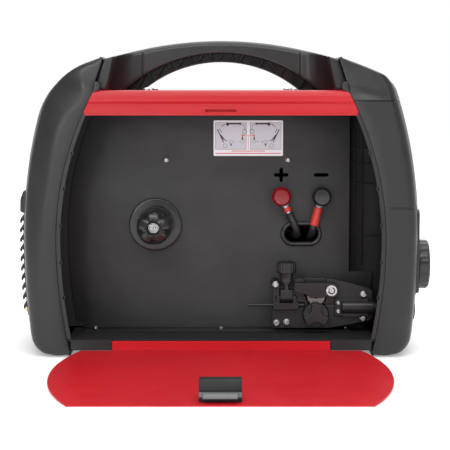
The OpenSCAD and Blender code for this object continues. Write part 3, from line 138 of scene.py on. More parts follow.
def paint(name, col, rough=0.3, edge=0.0005):
    """Powder-coated sheet: low orange peel over a solid colour."""
    m, nt, b = tinted(name, col, (9, 3), 0.93, 1.05)
    nt.links.new(to_range(nt, noise(nt, 45, 4), rough - 0.03, rough + 0.05), b.inputs["Roughness"])
    b.inputs["Coat Weight"].default_value = 0.12
    b.inputs["Specular IOR Level"].default_value = 0.35
    b.inputs["Coat Roughness"].default_value = 0.25
    bump(nt, b, noise(nt, 900, 3, 0.5), 0.25, 0.00006, edge)
    return m


def metal(name, col, rough=0.3, brush=None, edge=0.0003):
    m, nt, b = tinted(name, col, (30, 4), 0.9, 1.1)
    b.inputs["Metallic"].default_value = 1.0
    g = noise(nt, 700, 4, 0.6, brush)
    nt.links.new(to_range(nt, g, rough - 0.08, rough + 0.1), b.inputs["Roughness"])
    bump(nt, b, g, 0.2, 0.00004, edge)
    return m


def rubber(name, col, rough=0.6):
    m, nt, b = tinted(name, col, (40, 5), 0.8, 1.25)
    nt.links.new(to_range(nt, noise(nt, 150, 4), rough - 0.06, rough + 0.1), b.inputs["Roughness"])
    bump(nt, b, noise(nt, 1500, 3), 0.3, 0.00006, 0.0003)
    return m


def split_xyz(nt, coord="Object"):
    tc = nt.nodes.new("ShaderNodeTexCoord")
    s = nt.nodes.new("ShaderNodeSeparateXYZ")
    nt.links.new(tc.outputs[coord], s.inputs["Vector"])
    return s.outputs


def maths(nt, op, a, b):
    m = nt.nodes.new("ShaderNodeMath")
    m.operation = op
    for k, v in enumerate((a, b)):
        if isinstance(v, (int, float)):
            m.inputs[k].default_value = v
        else:
            nt.links.new(v, m.inputs[k])
    return m.outputs[0]


def rail_paint():
    """The red coat, set darker than the door's as painted shade, with the front rail's rolled top edge and
    its soft fold as relief.
    """
    # Painted shade: the door's red, darkened from 0.52 to 0.41 on the cover and its rail, which the lamps
    # light more
    m = paint("red_rail_painted_shade", (0.41, 0.004, 0.009), 0.36)
    nt = m.node_tree
    b = nt.nodes["Principled BSDF"]
    b.inputs["Coat Weight"].default_value = 0.14
    b.inputs["Coat Roughness"].default_value = 0.3
    z = split_xyz(nt)["Z"]
    h = maths(nt, "ADD", to_range(nt, z, 0.0, -0.0021, 0.294, 0.3035, "SMOOTHSTEP"),
              to_range(nt, z, 0.0, 0.0013, 0.2830, 0.2895, "SMOOTHSTEP"))
    n = nt.nodes.new("ShaderNodeBump")
    n.inputs["Strength"].default_value = 1.0
    n.inputs["Distance"].default_value = 1.0
    nt.links.new(h, n.inputs["Height"])
    old = b.inputs["Normal"].links[0].from_node
    edge = old.inputs["Normal"].links[0].from_node
    nt.links.new(edge.outputs["Normal"], n.inputs["Normal"])
    nt.links.new(n.outputs["Normal"], old.inputs["Normal"])
    return m


def panel_coat():
    """Black sheet with painted shade: its colour is lighter in the middle, under the reel, and darkened
    towards its edges.
    """
    m = plastic("centre_panel_painted_shade", (0.034, 0.034, 0.035), 0.55, 1500, 0.00009, 0.2, 0.35)
    nt = m.node_tree
    b = nt.nodes["Principled BSDF"]
    # Painted shade: the colour is multiplied down to a fifth of itself towards the panel's edges
    at = split_xyz(nt)
    dx = maths(nt, "DIVIDE", at["X"], 0.19)
    dz = maths(nt, "DIVIDE", maths(nt, "SUBTRACT", at["Z"], 0.145), 0.165)
    r = maths(nt, "ADD", maths(nt, "POWER", maths(nt, "ABSOLUTE", dx, 0), 3.0),
              maths(nt, "POWER", maths(nt, "ABSOLUTE", dz, 0), 3.0))
    edge_shade = to_range(nt, r, 1.0, 0.2, 0.12, 0.85, "SMOOTHSTEP")
    mixer = nt.nodes.new("ShaderNodeMix")
    mixer.data_type = "RGBA"
    mixer.blend_type = "MULTIPLY"
    mixer.inputs[0].default_value = 1.0
    nt.links.new(b.inputs["Base Color"].links[0].from_socket, mixer.inputs[6])
    nt.links.new(edge_shade, mixer.inputs[7])
    nt.links.new(mixer.outputs[2], b.inputs["Base Color"])
    return m


MAT = {
    "case": plastic("case_plastic", (0.0155, 0.0155, 0.016), 0.37, spec=0.45),
    "handle": plastic("handle_plastic", (0.017, 0.017, 0.0175), 0.34, 2200, 0.00006, spec=0.45),
    "handle_core": plastic("handle_core_plastic", (0.009, 0.0085, 0.0085), 0.5, 1800, 0.00006, spec=0.3),
    # A darker copy of the inner black sheet: painted shade for walls deep in the case
    "inner_painted_shade": plastic("inner_dark_plastic", (0.0075, 0.0075, 0.0078), 0.6, 1600, 0.00006, spec=0.25),
    "red": paint("red_powder_coat", (0.52, 0.006, 0.013), 0.38),
    "inner": plastic("inner_black_sheet", (0.017, 0.017, 0.018), 0.55, 1600, 0.00008, 0.15, 0.35),
    "rubber": rubber("black_rubber", (0.02, 0.02, 0.021)),
    "zinc": metal("zinc_plate", (0.62, 0.63, 0.65), 0.32),
    "steel": metal("bright_steel", (0.66, 0.66, 0.67), 0.24),
    "knob": plastic("knob_plastic", (0.015, 0.015, 0.016), 0.34, 3000),
    "red_knob": plastic("red_terminal_plastic", (0.20, 0.005, 0.007), 0.22, 3000, 0.00003),
    "lead": rubber("lead_jacket", (0.012, 0.012, 0.0125), 0.5),
    "label": plastic("label_film", (0.76, 0.76, 0.79), 0.35, 1200, 0.00001, 0.04),
    "feeder": plastic("feeder_plastic", (0.0145, 0.0145, 0.015), 0.42, 2000, spec=0.4),
    "core": metal("core_steel", (0.3, 0.3, 0.31), 0.45, (1, 1, 12)),
    "copper": metal("enamelled_copper", (0.65, 0.27, 0.1), 0.3, (1, 1, 10)),
    "board": plastic("board_green", (0.01, 0.09, 0.035), 0.35, 900, 0.00004),
    "brass": metal("brass", (0.72, 0.5, 0.2), 0.3),
    "lamp": plastic("amber_lens", (0.8, 0.28, 0.02), 0.15, 400, 0.00001),
    "grey": plastic("grey_plastic", (0.28, 0.28, 0.29), 0.4),
    "sleeve": plastic("red_sleeve", (0.52, 0.035, 0.025), 0.38, 1800, 0.00004),
    "hub": plastic("hub_plastic", (0.018, 0.018, 0.019), 0.24, 2600, 0.00002),
    "knob_gloss": plastic("gloss_black_plastic", (0.016, 0.016, 0.017), 0.2, 3000, 0.00002),
    "rubber_gloss": rubber("moulded_rubber", (0.014, 0.014, 0.015), 0.34),
    "latch": plastic("latch_plastic", (0.012, 0.012, 0.0125), 0.5, 1800, 0.00006, 0.3, spec=0.22),
    "strip": plastic("latch_strip_grey", (0.11, 0.11, 0.113), 0.45, 2600, 0.00003),
    "label_pale": plastic("label_panel_grey", (0.54, 0.54, 0.60), 0.35, 1200, 0.00001, 0.05),
    "print_black": plastic("printed_black", (0.016, 0.014, 0.014), 0.4, 1500, 0.00001, 0.1, edge=0.0),
    "print_red": plastic("printed_red", (0.62, 0.05, 0.03), 0.4, 1500, 0.00001, 0.1, edge=0.0),
}

MAT["rail"] = rail_paint()
MAT["panel"] = panel_coat()
MAT["nut"] = metal("hub_nut_steel", (0.34, 0.34, 0.35), 0.2)
MAT["roller"] = metal("ground_roller_steel", (0.16, 0.15, 0.15), 0.26)

NODE_MAT = {
    "rear_shell": "case", "front_shell": "case", "carry_handle": "handle", "top_cover": "rail",
    "base_pan": "inner", "centre_panel": "panel", "side_door": "red", "latch_housing": "case",
    "latch_tongue": "grey", "latch_spring": "steel", "hinge_brackets": "inner",
    "hinge_screws": "zinc", "rubber_feet": "rubber", "shell_screws": "zinc",
    "cover_screws": "zinc", "panel_screws": "zinc", "polarity_label": "label",
    "spool_hub": "knob", "hub_spindle": "steel", "hub_brake_spring": "steel",
    "hub_nut": "nut", "panel_grommet": "rubber", "terminal_studs": "steel",
    "terminal_bushes": "knob", "terminal_knob_red": "red_knob", "terminal_knob_black": "knob",
    "lead_lugs": "zinc", "lug_sleeve": "sleeve", "welding_lead_pos": "lead",
    "welding_lead_neg": "lead", "feeder_body": "feeder", "pressure_arm": "feeder",
    "pressure_roller": "roller", "drive_roller": "steel", "roller_knob": "knob",
    "tension_knob": "knob", "tension_bolt": "knob", "tension_spring": "steel",
    "inlet_guide": "knob", "torch_adaptor": "knob", "feeder_screws": "zinc",
    "arm_pivot_screw": "zinc", "feed_motor": "zinc", "transformer_core": "core",
    "transformer_coils": "copper", "output_choke": "copper", "rectifier_stack": "core",
    "fan_motor": "knob", "fan_blades": "knob", "control_board": "board", "gas_valve": "brass",
    "gas_inlet": "brass", "mains_gland": "knob", "torch_gland": "knob", "earth_gland": "knob",
    "control_plate": "knob", "power_switch": "knob", "selector_knob": "knob",
    "speed_knob": "knob", "indicator_lamp": "lamp",
}
for node, key in NODE_MAT.items():
    o = frame["nodes"][node]
    o.data.materials.clear()
    o.data.materials.append(MAT[key])

# ---------- mesh helpers ----------

def link(name, me, mat=None, smooth=True, body="case"):
    """Puts a mesh in the scene as a piece that rides on a body."""
    o = bpy.data.objects.new(name, me)
    bpy.context.scene.collection.objects.link(o)
    if smooth:
        me.shade_smooth()
    if mat:
        me.materials.append(MAT[mat])
    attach(o, body)
    return o


def from_rows(name, rows, keep=None, close_u=False, close_v=False, caps=False):
    """Mesh from rows of points, each row as long as the next; keep(row, column) says which faces stay."""
    n, k = len(rows), len(rows[0])
    faces = []
    for a in range(n if close_u else n - 1):
        for b in range(k if close_v else k - 1):
            if keep and not keep(a, b):
                continue
            a1, b1 = (a + 1) % n, (b + 1) % k
            faces.append((a * k + b, a * k + b1, a1 * k + b1, a1 * k + b))
    if caps:
        faces.append(tuple(range(k - 1, -1, -1)))
        faces.append(tuple((n - 1) * k + b for b in range(k)))
    me = bpy.data.meshes.new(name)
    me.from_pydata([tuple(p) for r in rows for p in r], [], faces)
    me.update()
    return me


def outward(me, weld=0.0):
    """Turns the faces outward, once points closer than weld are one."""
    bm = bmesh.new()
    bm.from_mesh(me)
    if weld:
        bmesh.ops.remove_doubles(bm, verts=bm.verts, dist=weld)
    bmesh.ops.recalc_face_normals(bm, faces=bm.faces)
    bm.to_mesh(me)
    bm.free()
    return me


def modify(o, kind, **settings):
    m = o.modifiers.new(kind.lower(), kind)
    for key, value in settings.items():
        setattr(m, key, value)
    return m


def apply_mods(o):
    """Replaces the object's mesh by the one its modifiers make."""
    dg = bpy.context.evaluated_depsgraph_get()
    me = bpy.data.meshes.new_from_object(o.evaluated_get(dg))
    old = o.data
    o.modifiers.clear()
    o.data = me
    bpy.data.meshes.remove(old)


def smooth_by_angle(o, deg=35):
    o.data.shade_smooth()
    bm = bmesh.new()
    bm.from_mesh(o.data)
    for e in bm.edges:
        if len(e.link_faces) == 2 and e.calc_face_angle(0) > math.radians(deg):
            e.smooth = False
    bm.to_mesh(o.data)
    bm.free()


def moulding(name, rows, mat, angle=None, bevel=0.0, weld=0.0, body="case", slot=None, ring=False,
             **bevel_settings):
    """Piece from rows of closed loops, capped unless it is a ring, its edges bevelled and shaded by angle."""
    me = outward(from_rows(name, rows, close_u=ring, close_v=True, caps=not ring), weld)
    o = link(name, me, mat, body=body)
    if bevel:
        settings = {"segments": 2, "limit_method": "ANGLE", **bevel_settings}
        modify(o, "BEVEL", width=bevel * MM, **settings)
        apply_mods(o)
    if angle:
        smooth_by_angle(o, angle)
    return o


def ease(t):
    t = max(0.0, min(1.0, t))
    return t * t * (3 - 2 * t)


def mix(a, b, t):
    return a + (b - a) * t


# ---------- end shells ----------

HALF, WAIST, R_UP, R_LOW, CROWN = 223.5, 132.0, 545.0, 944.0, 9.0
TOP, FOOT, CORNER, CASE_D = 303.0, 2.5, 22.0, 235.0
TOP_CZ, TOP_R = 361.0 - 437.0, 437.0
PART_X, CROWN_X, PART_RISE = 144.5, 133.5, 34
WALL = 2.8


def open_x(z):
    """Half width of the door opening at height z, and of the shell's parting line above it."""
    if z > TOP:
        return mix(PART_X, CROWN_X, min(1.0, (z - TOP) / PART_RISE))
    r = 355.0 if z > WAIST else 545.0
    return 186.8 - r + math.sqrt(r * r - (z - WAIST) ** 2)


def crown(d):
    """How far the case swells sideways at depth d."""
    share = min(1.0, max(0.0, (min(d, CASE_D - d) - 14) / 75))
    return CROWN * math.sin(share * math.pi / 2) ** 1.15


def crossing(c1, r1, c2, r2):
    dx, dz = c2[0] - c1[0], c2[1] - c1[1]
    d = math.hypot(dx, dz)
    a = (r1 * r1 - r2 * r2 + d * d) / (2 * d)
    h = math.sqrt(max(0.0, r1 * r1 - a * a))
    ux, uz = dx / d, dz / d
    return c1[0] + a * ux - h * uz, c1[1] + a * uz + h * ux


def side_x(z, o):
    r, c = (R_UP, HALF - R_UP) if z > WAIST else (R_LOW, HALF - R_LOW)
    return c + math.sqrt((r + o) ** 2 - (z - WAIST) ** 2)


def outer_point(t, o, shoulder):
    """Point of the outline grown by o, at t: 0..1 bottom, 1..2 corner, 2..3 side, 3..4 shoulder, 4..5 top."""
    zb = FOOT + CORNER
    lo_c = HALF - R_LOW
    bx = lo_c + math.sqrt((R_LOW + o - CORNER) ** 2 - (WAIST - zb) ** 2)
    a_low = math.atan2(zb - WAIST, bx - lo_c)
    up_c = HALF - R_UP
    sx, sz = crossing((up_c, WAIST), R_UP + o - shoulder, (0, TOP_CZ), TOP_R - shoulder)
    a_s = math.atan2(sz - WAIST, sx - up_c)
    a_t = math.atan2(sz - TOP_CZ, sx)
    if t <= 1:
        return mix(open_x(FOOT), bx, t), FOOT
    if t <= 2:
        a = mix(-math.pi / 2, a_low, t - 1)
        return bx + CORNER * math.cos(a), zb + CORNER * math.sin(a)
    if t <= 3:
        z0 = zb + CORNER * math.sin(a_low)
        z1 = WAIST + (R_UP + o) * math.sin(a_s)
        z = mix(z0, z1, t - 2)
        return side_x(z, o), z
    if t <= 4:
        a = mix(a_s, a_t, t - 3)
        return sx + shoulder * math.cos(a), sz + shoulder * math.sin(a)
    a = mix(a_t, math.acos(CROWN_X / TOP_R), t - 4)
    return TOP_R * math.cos(a), TOP_CZ + TOP_R * math.sin(a)


def side_t(z, shoulder):
    """The t at which the side of the outline is at height z."""
    z0, z1 = outer_point(2, 0, shoulder)[1], outer_point(3, 0, shoulder)[1]
    return 2 + (z - z0) / (z1 - z0)


def end_rows(sx, shoulder, width, ridge, marks, grooves, setback):
    """Rows of the end shell's outside, each across the depth from one opening edge to the other."""
    z_side0 = outer_point(2, 0, shoulder)[1]
    z_side1 = outer_point(3, 0, shoulder)[1]
    ts = [k / 5 for k in range(6)] + [1 + k / 9 for k in range(1, 10)]
    zs = sorted(set([mix(z_side0, z_side1, k / 44) for k in range(1, 45)] + marks))
    for g in grooves:
        zs += [g["z"] + e for e in (-1.1, -0.75, 0.75, 1.1)]
    zs = sorted(z for z in zs if all(abs(z - g["z"]) > 0.7 or abs(abs(z - g["z"]) - 0.75) < 0.01
                                      for g in grooves))
    ts += [side_t(z, shoulder) for z in zs if side_t(z, shoulder) < 2.999] + [3.0]
    ts += [3 + k / 10 for k in range(1, 11)] + [4 + k / 8 for k in range(1, 9)]
    rows = []
    for t in ts:
        bx, bz = outer_point(t, 0, shoulder)
        e = 0.004
        p0, p1 = outer_point(max(0, t - e), 0, shoulder), outer_point(min(5, t + e), 0, shoulder)
        tx, tz = p1[0] - p0[0], p1[1] - p0[1]
        m = math.hypot(tx, tz) or 1.0
        nx, nz = tz / m, -tx / m
        if t <= 2:
            az = mix(FOOT, z_side0, t / 2)
        elif t <= 3:
            az = bz
        else:
            az = mix(z_side1, 340.1, (t - 3) / 2)
        ax = open_x(az)
        gap = math.hypot(bx - ax, bz - az)
        along = ease((t - 0.9) / 0.9) * (1 - ease((t - 3.4) / 0.6))
        w = min(mix(7.0, width(bz), along), gap * 0.85 + 0.01)
        dn = mix(7.0, 14.0, along) * min(1.0, gap / 12 + 0.02)
        rdg = ridge(bz) * along
        gr = 0.0
        for g in grooves:
            if abs(bz - g["z"]) < 0.8 and 2 < t < 3.2:
                gr = g["depth"]
        near = []
        # edge of the opening, then across the cheek
        near.append((ax, az, 7.6))
        near.append((ax, az, 1.0))
        near.append((mix(ax, bx, 0.3 / max(gap, 0.3)), mix(az, bz, 0.3 / max(gap, 0.3)), 0.3))
        near.append((mix(ax, bx, min(1.0 / max(gap, 1), 0.2)), mix(az, bz, min(1.0 / max(gap, 1), 0.2)), 0.0))
        for q in (0.35, 0.7, 1.0):
            f = (gap - w) / max(gap, 0.01) * q
            f = max(f, min(1.0 / max(gap, 1), 0.2) + 0.001 * q)
            near.append((mix(ax, bx, f), mix(az, bz, f), 0.0))
        for q in range(1, 9):
            s = math.sin(q / 8 * math.pi / 2)
            round_d = dn * (1 - math.cos(q / 8 * math.pi / 2))
            d = mix(round_d, dn * (0.42 * s + 0.58 * (1 - math.sqrt(max(0, 1 - s * s)))), rdg)
            f = 1 - w * (1 - s) / max(gap, 0.01)
            near.append((mix(ax, bx, f), mix(az, bz, f), d))
        side = []
        for d in (20, 26, 34, 42, 47.4, 51.4, 60, 70, 80, 89, 103, 117.5):
            o = crown(d) * along
            if o > 0 and t > 1:
                px, pz = outer_point(t, o, shoulder)
            else:
                px, pz = bx, bz
            side.append((px, pz, d))
        row = []
        for i, (x, z, d) in enumerate(near + side):
            dd = d + max(0.0, 14 - d) / 14 * setback(x, z)
            if gr and i > 3:
                k = 1.0 if i > 4 else 0.7
                if d < 13:
                    dd += gr * k * (1 - d / 20)
                x, z = x - nx * gr * min(1, d / 8), z - nz * gr * min(1, d / 8)
            row.append((x, dd, z))
        far = [(x, CASE_D - d, z) for x, d, z in reversed(row[:-1])]
        rows.append([P(sx * x, d, z) for x, d, z in row + far])
    return rows


def shell(name, node, sx, shoulder, width, ridge, marks, grooves, setback, hole):
    """An end shell; hole gives the window in its side as depths and heights."""
    rows = end_rows(sx, shoulder, width, ridge, marks, grooves, setback)

    def keep(a, b):
        c = [(rows[i][j]) for i in (a, a + 1) for j in (b, b + 1)]
        x = sum(p.x for p in c) / 4 / MM * sx
        d = (sum(p.y for p in c) / 4 - Y0) / MM
        z = sum(p.z for p in c) / 4 / MM
        return not (x > 190 and hole[0] < d < hole[1] and hole[2] < z < hole[3])

    me = from_rows(name, rows, keep)
    o = link(name, me, "case")
    bm = bmesh.new()
    bm.from_mesh(me)
    bmesh.ops.remove_doubles(bm, verts=bm.verts, dist=1e-5)
    if sx < 0:
        bmesh.ops.reverse_faces(bm, faces=bm.faces)
    bm.to_mesh(me)
    bm.free()
    modify(o, "SOLIDIFY", thickness=WALL * MM, offset=-1)
    apply_mods(o)
    smooth_by_angle(o, 40)
    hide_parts(node)


def cap_facet(x, z):
    """How far the front cap stands back: a wedge under it, tall at the opening and gone at the ridge."""
    f = max(0.0, min(1.0, (x - 147) / 44))
    top = mix(306.0, 293.5, f)
    return 5.6 * (1 - f) * max(0.0, min(1.0, (z - 292.0) / (top - 292.0)))


# The louvre window in the rear shell and the tray in the front one: from the case's faces, bottom, top
LOUVRE_D, LOUVRE_Z0, LOUVRE_Z1 = 51.4, 43.0, 158.0
TRAY_D, TRAY_Z0, TRAY_Z1 = 26.0, 69.0, 167.0

shell("rear_end_shell", "rear_shell", -1, 84.0,
      lambda z: 22 + 3 * ease((z - 132) / 80) + 15 * ease((z - 255) / 50),
      lambda z: ease((z - 105) / 90),
      [LOUVRE_Z0, LOUVRE_Z1, 306.0, 308.5, 311.0], [],
      lambda x, z: max(0.0, z - 308.5) * 0.27,
      (LOUVRE_D, CASE_D - LOUVRE_D, LOUVRE_Z0, LOUVRE_Z1))
shell("front_end_shell", "front_shell", 1, 26.0,
      lambda z: 12.0, lambda z: 0.0,
      [TRAY_Z0, TRAY_Z1, 294.0, 296.0, 298.0],
      [{"z": 291.0, "depth": 2.2}, {"z": 170.0, "depth": 1.3}], cap_facet,
      (TRAY_D, CASE_D - TRAY_D, TRAY_Z0, TRAY_Z1))


# ---------- inside of the end shells ----------

def bar(name, a, b, section, mat, bevel=0.0, slot=None):
    """Prism from a to b; section gives the corners as (right, up) steps across it, in mm."""
    a, b = Vector(a), Vector(b)
    f = (b - a).normalized()
    up = Vector((0, 0, 1)) if abs(f.z) < 0.9 else Vector((0, 1, 0))
    r = f.cross(up).normalized()
    u = r.cross(f)
    rows = [[p + r * x * MM + u * y * MM for x, y in section] for p in (a, b)]
    return moulding(name, rows, mat, 38, bevel, slot=slot)


def block(name, x0, x1, d0, d1, z0, z1, mat, bevel=0.4, slot=None):
    w, h = (x1 - x0) / 2, (z1 - z0) / 2
    return bar(name, P((x0 + x1) / 2, d0, (z0 + z1) / 2), P((x0 + x1) / 2, d1, (z0 + z1) / 2),
               [(-w, -h), (w, -h), (w, h), (-w, h)], mat, bevel, slot)


def join(name, objs):
    """One piece from several that ride on the same body."""
    bm = bmesh.new()
    for o in objs:
        bm.from_mesh(o.data)
    me = objs[0].data
    bm.to_mesh(me)
    bm.free()
    keep = objs[0]
    for o in objs[1:]:
        bpy.data.objects.remove(o)
    keep.name = name
    me.name = name
    return keep


def lip(name, sx, d0, d1, z_top):
    """Lip behind the opening's edge, with five small tabs."""
    section = [(-4.7, d0), (-5.0, d0 + 0.3), (-5.0, d1 - 0.3), (-4.7, d1), (2.0, d1), (2.0, d0)]
    rows = []
    for k in range(61):
        z = mix(20.5, z_top, k / 60)
        rows.append([P(sx * (open_x(z) + e), d, z) for e, d in section])
    tabs = [moulding(name, rows, "case", 35, slot="case_black")]
    for z in (68, 108, 150, 192, 232):
        x = open_x(z) - 6.2
        x0, x1 = (x, x + 3.5) if sx > 0 else (-x - 3.5, -x)
        tabs.append(block("tab", x0, x1, d0, d1, z - 2, z + 2, "case", bevel=0.5))
    return join(name, tabs)


for sx, tag in ((-1, "rear"), (1, "front")):
    lip(tag + "_door_lip", sx, 2.4, 5.2, 277.3)
    lip(tag + "_far_lip", sx, CASE_D - 5.2, CASE_D - 2.4, 300.0)


WALL_Z0, WALL_Z1 = 22, 298.7


def inner_x(z):
    """Half width of the walls inside the end shells, cut back under their shoulders."""
    return min(side_x(z, 3.0) - 1.6, 225) if z < 285 else side_x(285, 3.0) - 1.6 - (z - 285) * 1.4


def side_wall(name, sx, x_in, d0, d1, mat, angle=None, slot=None):
    """Flat wall between the centre panel's edge and the end shell."""
    rows = []
    for k in range(41):
        z = mix(WALL_Z0, WALL_Z1, k / 40)
        rows.append([P(x_in, d0, z), P(sx * inner_x(z), d0, z), P(sx * inner_x(z), d1, z), P(x_in, d1, z)])
    return moulding(name, rows, mat, angle, slot=slot)


def bulkhead():
    """Ribbed wall beside the centre panel, coloured with painted shade."""
    parts = [side_wall("bulkhead", 1, 153.5, 92.4, 95.2, "inner_painted_shade")]
    for x in (157.0, 166.5):
        parts.append(block("rib", x, x + 1.8, 91.3, 93.4, 96, 272, "inner_painted_shade", 0.7))
    for z in (130, 192, 216, 234):
        x1 = min(side_x(z, 3.0) - 3, 219)
        parts.append(block("rib", 155.5, x1, 91.1, 93.6, z, z + 1.7, "inner_painted_shade", 0.7))
    return join("front_bulkhead", parts)


bulkhead()
side_wall("rear_bulkhead", -1, -118, 90.0, 92.4, "inner", 35, "case_black")

# Return flange under the front rail: it closes the bottom of the latch slot
block("rail_flange", -153.5, 153.5, 2.3, 3.1, 274.7, 278.7, "rail", bevel=0.3, slot="red_paint")
# Dark sheet near the far side, behind the centre panel: painted shade for the inside of the case seen through
# its gaps
block("far_liner", -118, 150, CASE_D - 9, CASE_D - 8.2, 40, 285, "inner_painted_shade", bevel=0.2, slot="case_black")
block("rail_backing", -24, 24, 12.2, 13.0, 274.8, 290, "red", bevel=0.2, slot="red_paint")


# Louvres and their hood on the rear end
def middle(pts):
    return sum(p[0] for p in pts) / len(pts), sum(p[1] for p in pts) / len(pts)


def strip(name, section, d0, d1, inset=1.6, ends=5, steps=10):
    """A long moulding along the depth with rounded ends; section is a loop of (x, z) in mm."""
    cx, cz = middle(section)
    rows = []
    stops = [(d0 + inset * (1 - math.cos(k / ends * math.pi / 2)),
              inset * (1 - math.sin(k / ends * math.pi / 2))) for k in range(ends + 1)]
    mids = [(mix(d0 + inset, d1 - inset, k / steps), 0.0) for k in range(1, steps)]
    tail = [(d1 - (d - d0), s) for d, s in reversed(stops)]
    for d, s in stops + mids + tail:
        row = []
        for x, z in section:
            m = math.hypot(x - cx, z - cz)
            f = 1 - min(s / m, 0.9)
            row.append(P(-(cx + (x - cx) * f + (crown(d) - CROWN) * 0.8), d, cz + (z - cz) * f))
        rows.append(row)
    return moulding(name, rows, "case", 40)


BULGE = 236.6 - side_x(WAIST, CROWN)
slats = []
for k in range(10):
    z = 152 - k * 11.2
    x = side_x(z, CROWN)
    sec = [(x - 6.2, z + 6.6), (x - 0.4, z + 6.6), (x + 0.6, z + 6.0), (x + BULGE - 0.4, z + 1.6),
           (x + BULGE, z + 0.6), (x + BULGE, z - 2.0), (x + BULGE - 0.8, z - 2.7), (x + BULGE - 2.0, z - 2.6),
           (x + BULGE - 2.5, z - 0.6), (x - 6.2, z + 3.9)]
    slats.append(strip("slat", sec, 48.2, CASE_D - 48.2))
hx = side_x(170, CROWN)
sec = [(hx - 6, 187), (hx - 0.5, 186.4), (hx + 1.4, 185), (hx + BULGE - 0.6, 179.5), (hx + BULGE + 0.3, 177),
       (hx + BULGE + 0.8, 164), (hx + BULGE, 162.4), (hx + BULGE - 1.4, 161.6), (hx - 1.4, 160.4),
       (hx - 6, 160)]
slats.append(strip("hood", sec, 44.8, CASE_D - 44.8, 4))
join("rear_louvres", slats)


# Edge of the louvre window and the tray that carries the control plate
def frame_wall(name, pts, x_in, x_out, t, sx=1, slot=None):
    """A wall round a closed loop of (d, z) points, from x_in out to x_out(d, z), t thick outwards."""
    n = len(pts)
    cd, cz = middle(pts)
    rows = []
    for i, (d, z) in enumerate(pts):
        a, b = pts[i - 1], pts[(i + 1) % n]
        vx, vz = b[0] - a[0], b[1] - a[1]
        m = math.hypot(vx, vz)
        nd, nz = vz / m, -vx / m
        if (d - cd) * nd + (z - cz) * nz < 0:
            nd, nz = -nd, -nz
        xo = x_out(d, z)
        rows.append([P(sx * x, d + nd * e, z + nz * e) for x, e in (
            (x_in, 0), (xo - 0.4, 0), (xo, 0.4), (xo, t - 0.4), (xo - 0.6, t), (x_in, t))])
    return moulding(name, rows, "case", 40, slot=slot, ring=True)


def loop_rr(d0, d1, z0, z1, r, n=8):
    """Rounded rectangle as (depth, height) points."""
    pts = []
    for cx, cz, a0 in ((d1 - r, z1 - r, 0), (d0 + r, z1 - r, 90),
                       (d0 + r, z0 + r, 180), (d1 - r, z0 + r, 270)):
        turns = [math.radians(a0 + 90 * k / n) for k in range(n + 1)]
        pts += [(cx + r * math.cos(a), cz + r * math.sin(a)) for a in turns]
    full = []
    for i, p in enumerate(pts):
        q = pts[(i + 1) % len(pts)]
        full.append(p)
        m = math.hypot(q[0] - p[0], q[1] - p[1])
        if m > 8:
            k = int(m / 6)
            full += [(mix(p[0], q[0], j / k), mix(p[1], q[1], j / k)) for j in range(1, k)]
    return full


def wall_out(d, z):
    return side_x(z, crown(d))


floor_loop = loop_rr(TRAY_D - 1, CASE_D - TRAY_D + 1, TRAY_Z0 - 1, TRAY_Z1 + 1, 8)
tray = join("control_tray", [
    frame_wall("tray", loop_rr(TRAY_D, CASE_D - TRAY_D, TRAY_Z0, TRAY_Z1, 8), 220.2, wall_out, 3.4),
    moulding("tray_floor", [[P(x, d, z) for d, z in floor_loop] for x in (220.2, 222.9)], "case", 38)])
frame_wall("louvre_frame", loop_rr(51.0, CASE_D - 51.0, LOUVRE_Z0 - 0.4, LOUVRE_Z1 + 0.4, 3), 219.0,
           lambda d, z: wall_out(d, z) + 0.5, 2.2, -1, "case_black")


# ---------- turned and swept pieces ----------

WELD = 1e-7


def stands_for(o, *nodes):
    """The piece replaces these CAD nodes, which are hidden."""
    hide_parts(*nodes)


def soft_line(pts, r, n=4):
    """The polyline with each inner corner rounded off over a distance r."""
    out = [tuple(pts[0])]
    for a, b, c in zip(pts, pts[1:], pts[2:]):
        a, b, c = Vector(a), Vector(b), Vector(c)
        p = b + (a - b) * min(r / max((a - b).length, 1e-9), 0.45)
        q = b + (c - b) * min(r / max((c - b).length, 1e-9), 0.45)
        for k in range(n + 1):
            t = k / n
            out.append(tuple(p * (1 - t) ** 2 + b * 2 * t * (1 - t) + q * t * t))
    out.append(tuple(pts[-1]))
    return out


def lathe(name, place, profile, mat, body, n=64, radius=None, angle=40):
    """Turned piece: profile is a list of (radius, distance); place(u, v, w) gives the point of each step."""
    rows = []
    for r, w in profile:
        row = []
        for k in range(n):
            a = 2 * math.pi * k / n
            share = r * (radius(r, w, a) if radius else 1)
            row.append(place(share * math.cos(a), share * math.sin(a), w))
        rows.append(row)
    return moulding(name, rows, mat, angle, weld=WELD, body=body)


def facing(x, z):
    """Places a lathe's steps on an axis along the depth, at (x, z)."""
    return lambda u, v, w: P(x + u, w, z + v)


def sweep(name, pts, r, mat, n=20, step=6, angle=None):
    """Tube along a smooth curve through pts, given in metres."""
    path = []
    ext = [pts[0] * 2 - pts[1]] + list(pts) + [pts[-1] * 2 - pts[-2]]
    for k in range(1, len(ext) - 2):
        p0, p1, p2, p3 = ext[k - 1:k + 3]
        for j in range(step):
            t = j / step
            path.append(0.5 * (2 * p1 + (p2 - p0) * t + (2 * p0 - 5 * p1 + 4 * p2 - p3) * t * t
                               + (3 * p1 - p0 - 3 * p2 + p3) * t ** 3))
    path.append(pts[-1].copy())
    rows = []
    u = None
    for k, p in enumerate(path):
        t = (path[min(k + 1, len(path) - 1)] - path[max(k - 1, 0)]).normalized()
        if u is None:
            u = t.cross(Vector((0, 1, 0.3))).normalized()
        u = (u - t * u.dot(t)).normalized()
        v = t.cross(u)
        rr = r(k / (len(path) - 1)) if callable(r) else r
        rows.append([p + (u * math.cos(2 * math.pi * j / n) + v * math.sin(2 * math.pi * j / n)) * rr * MM
                     for j in range(n)])
    return moulding(name, rows, mat, angle, weld=WELD)


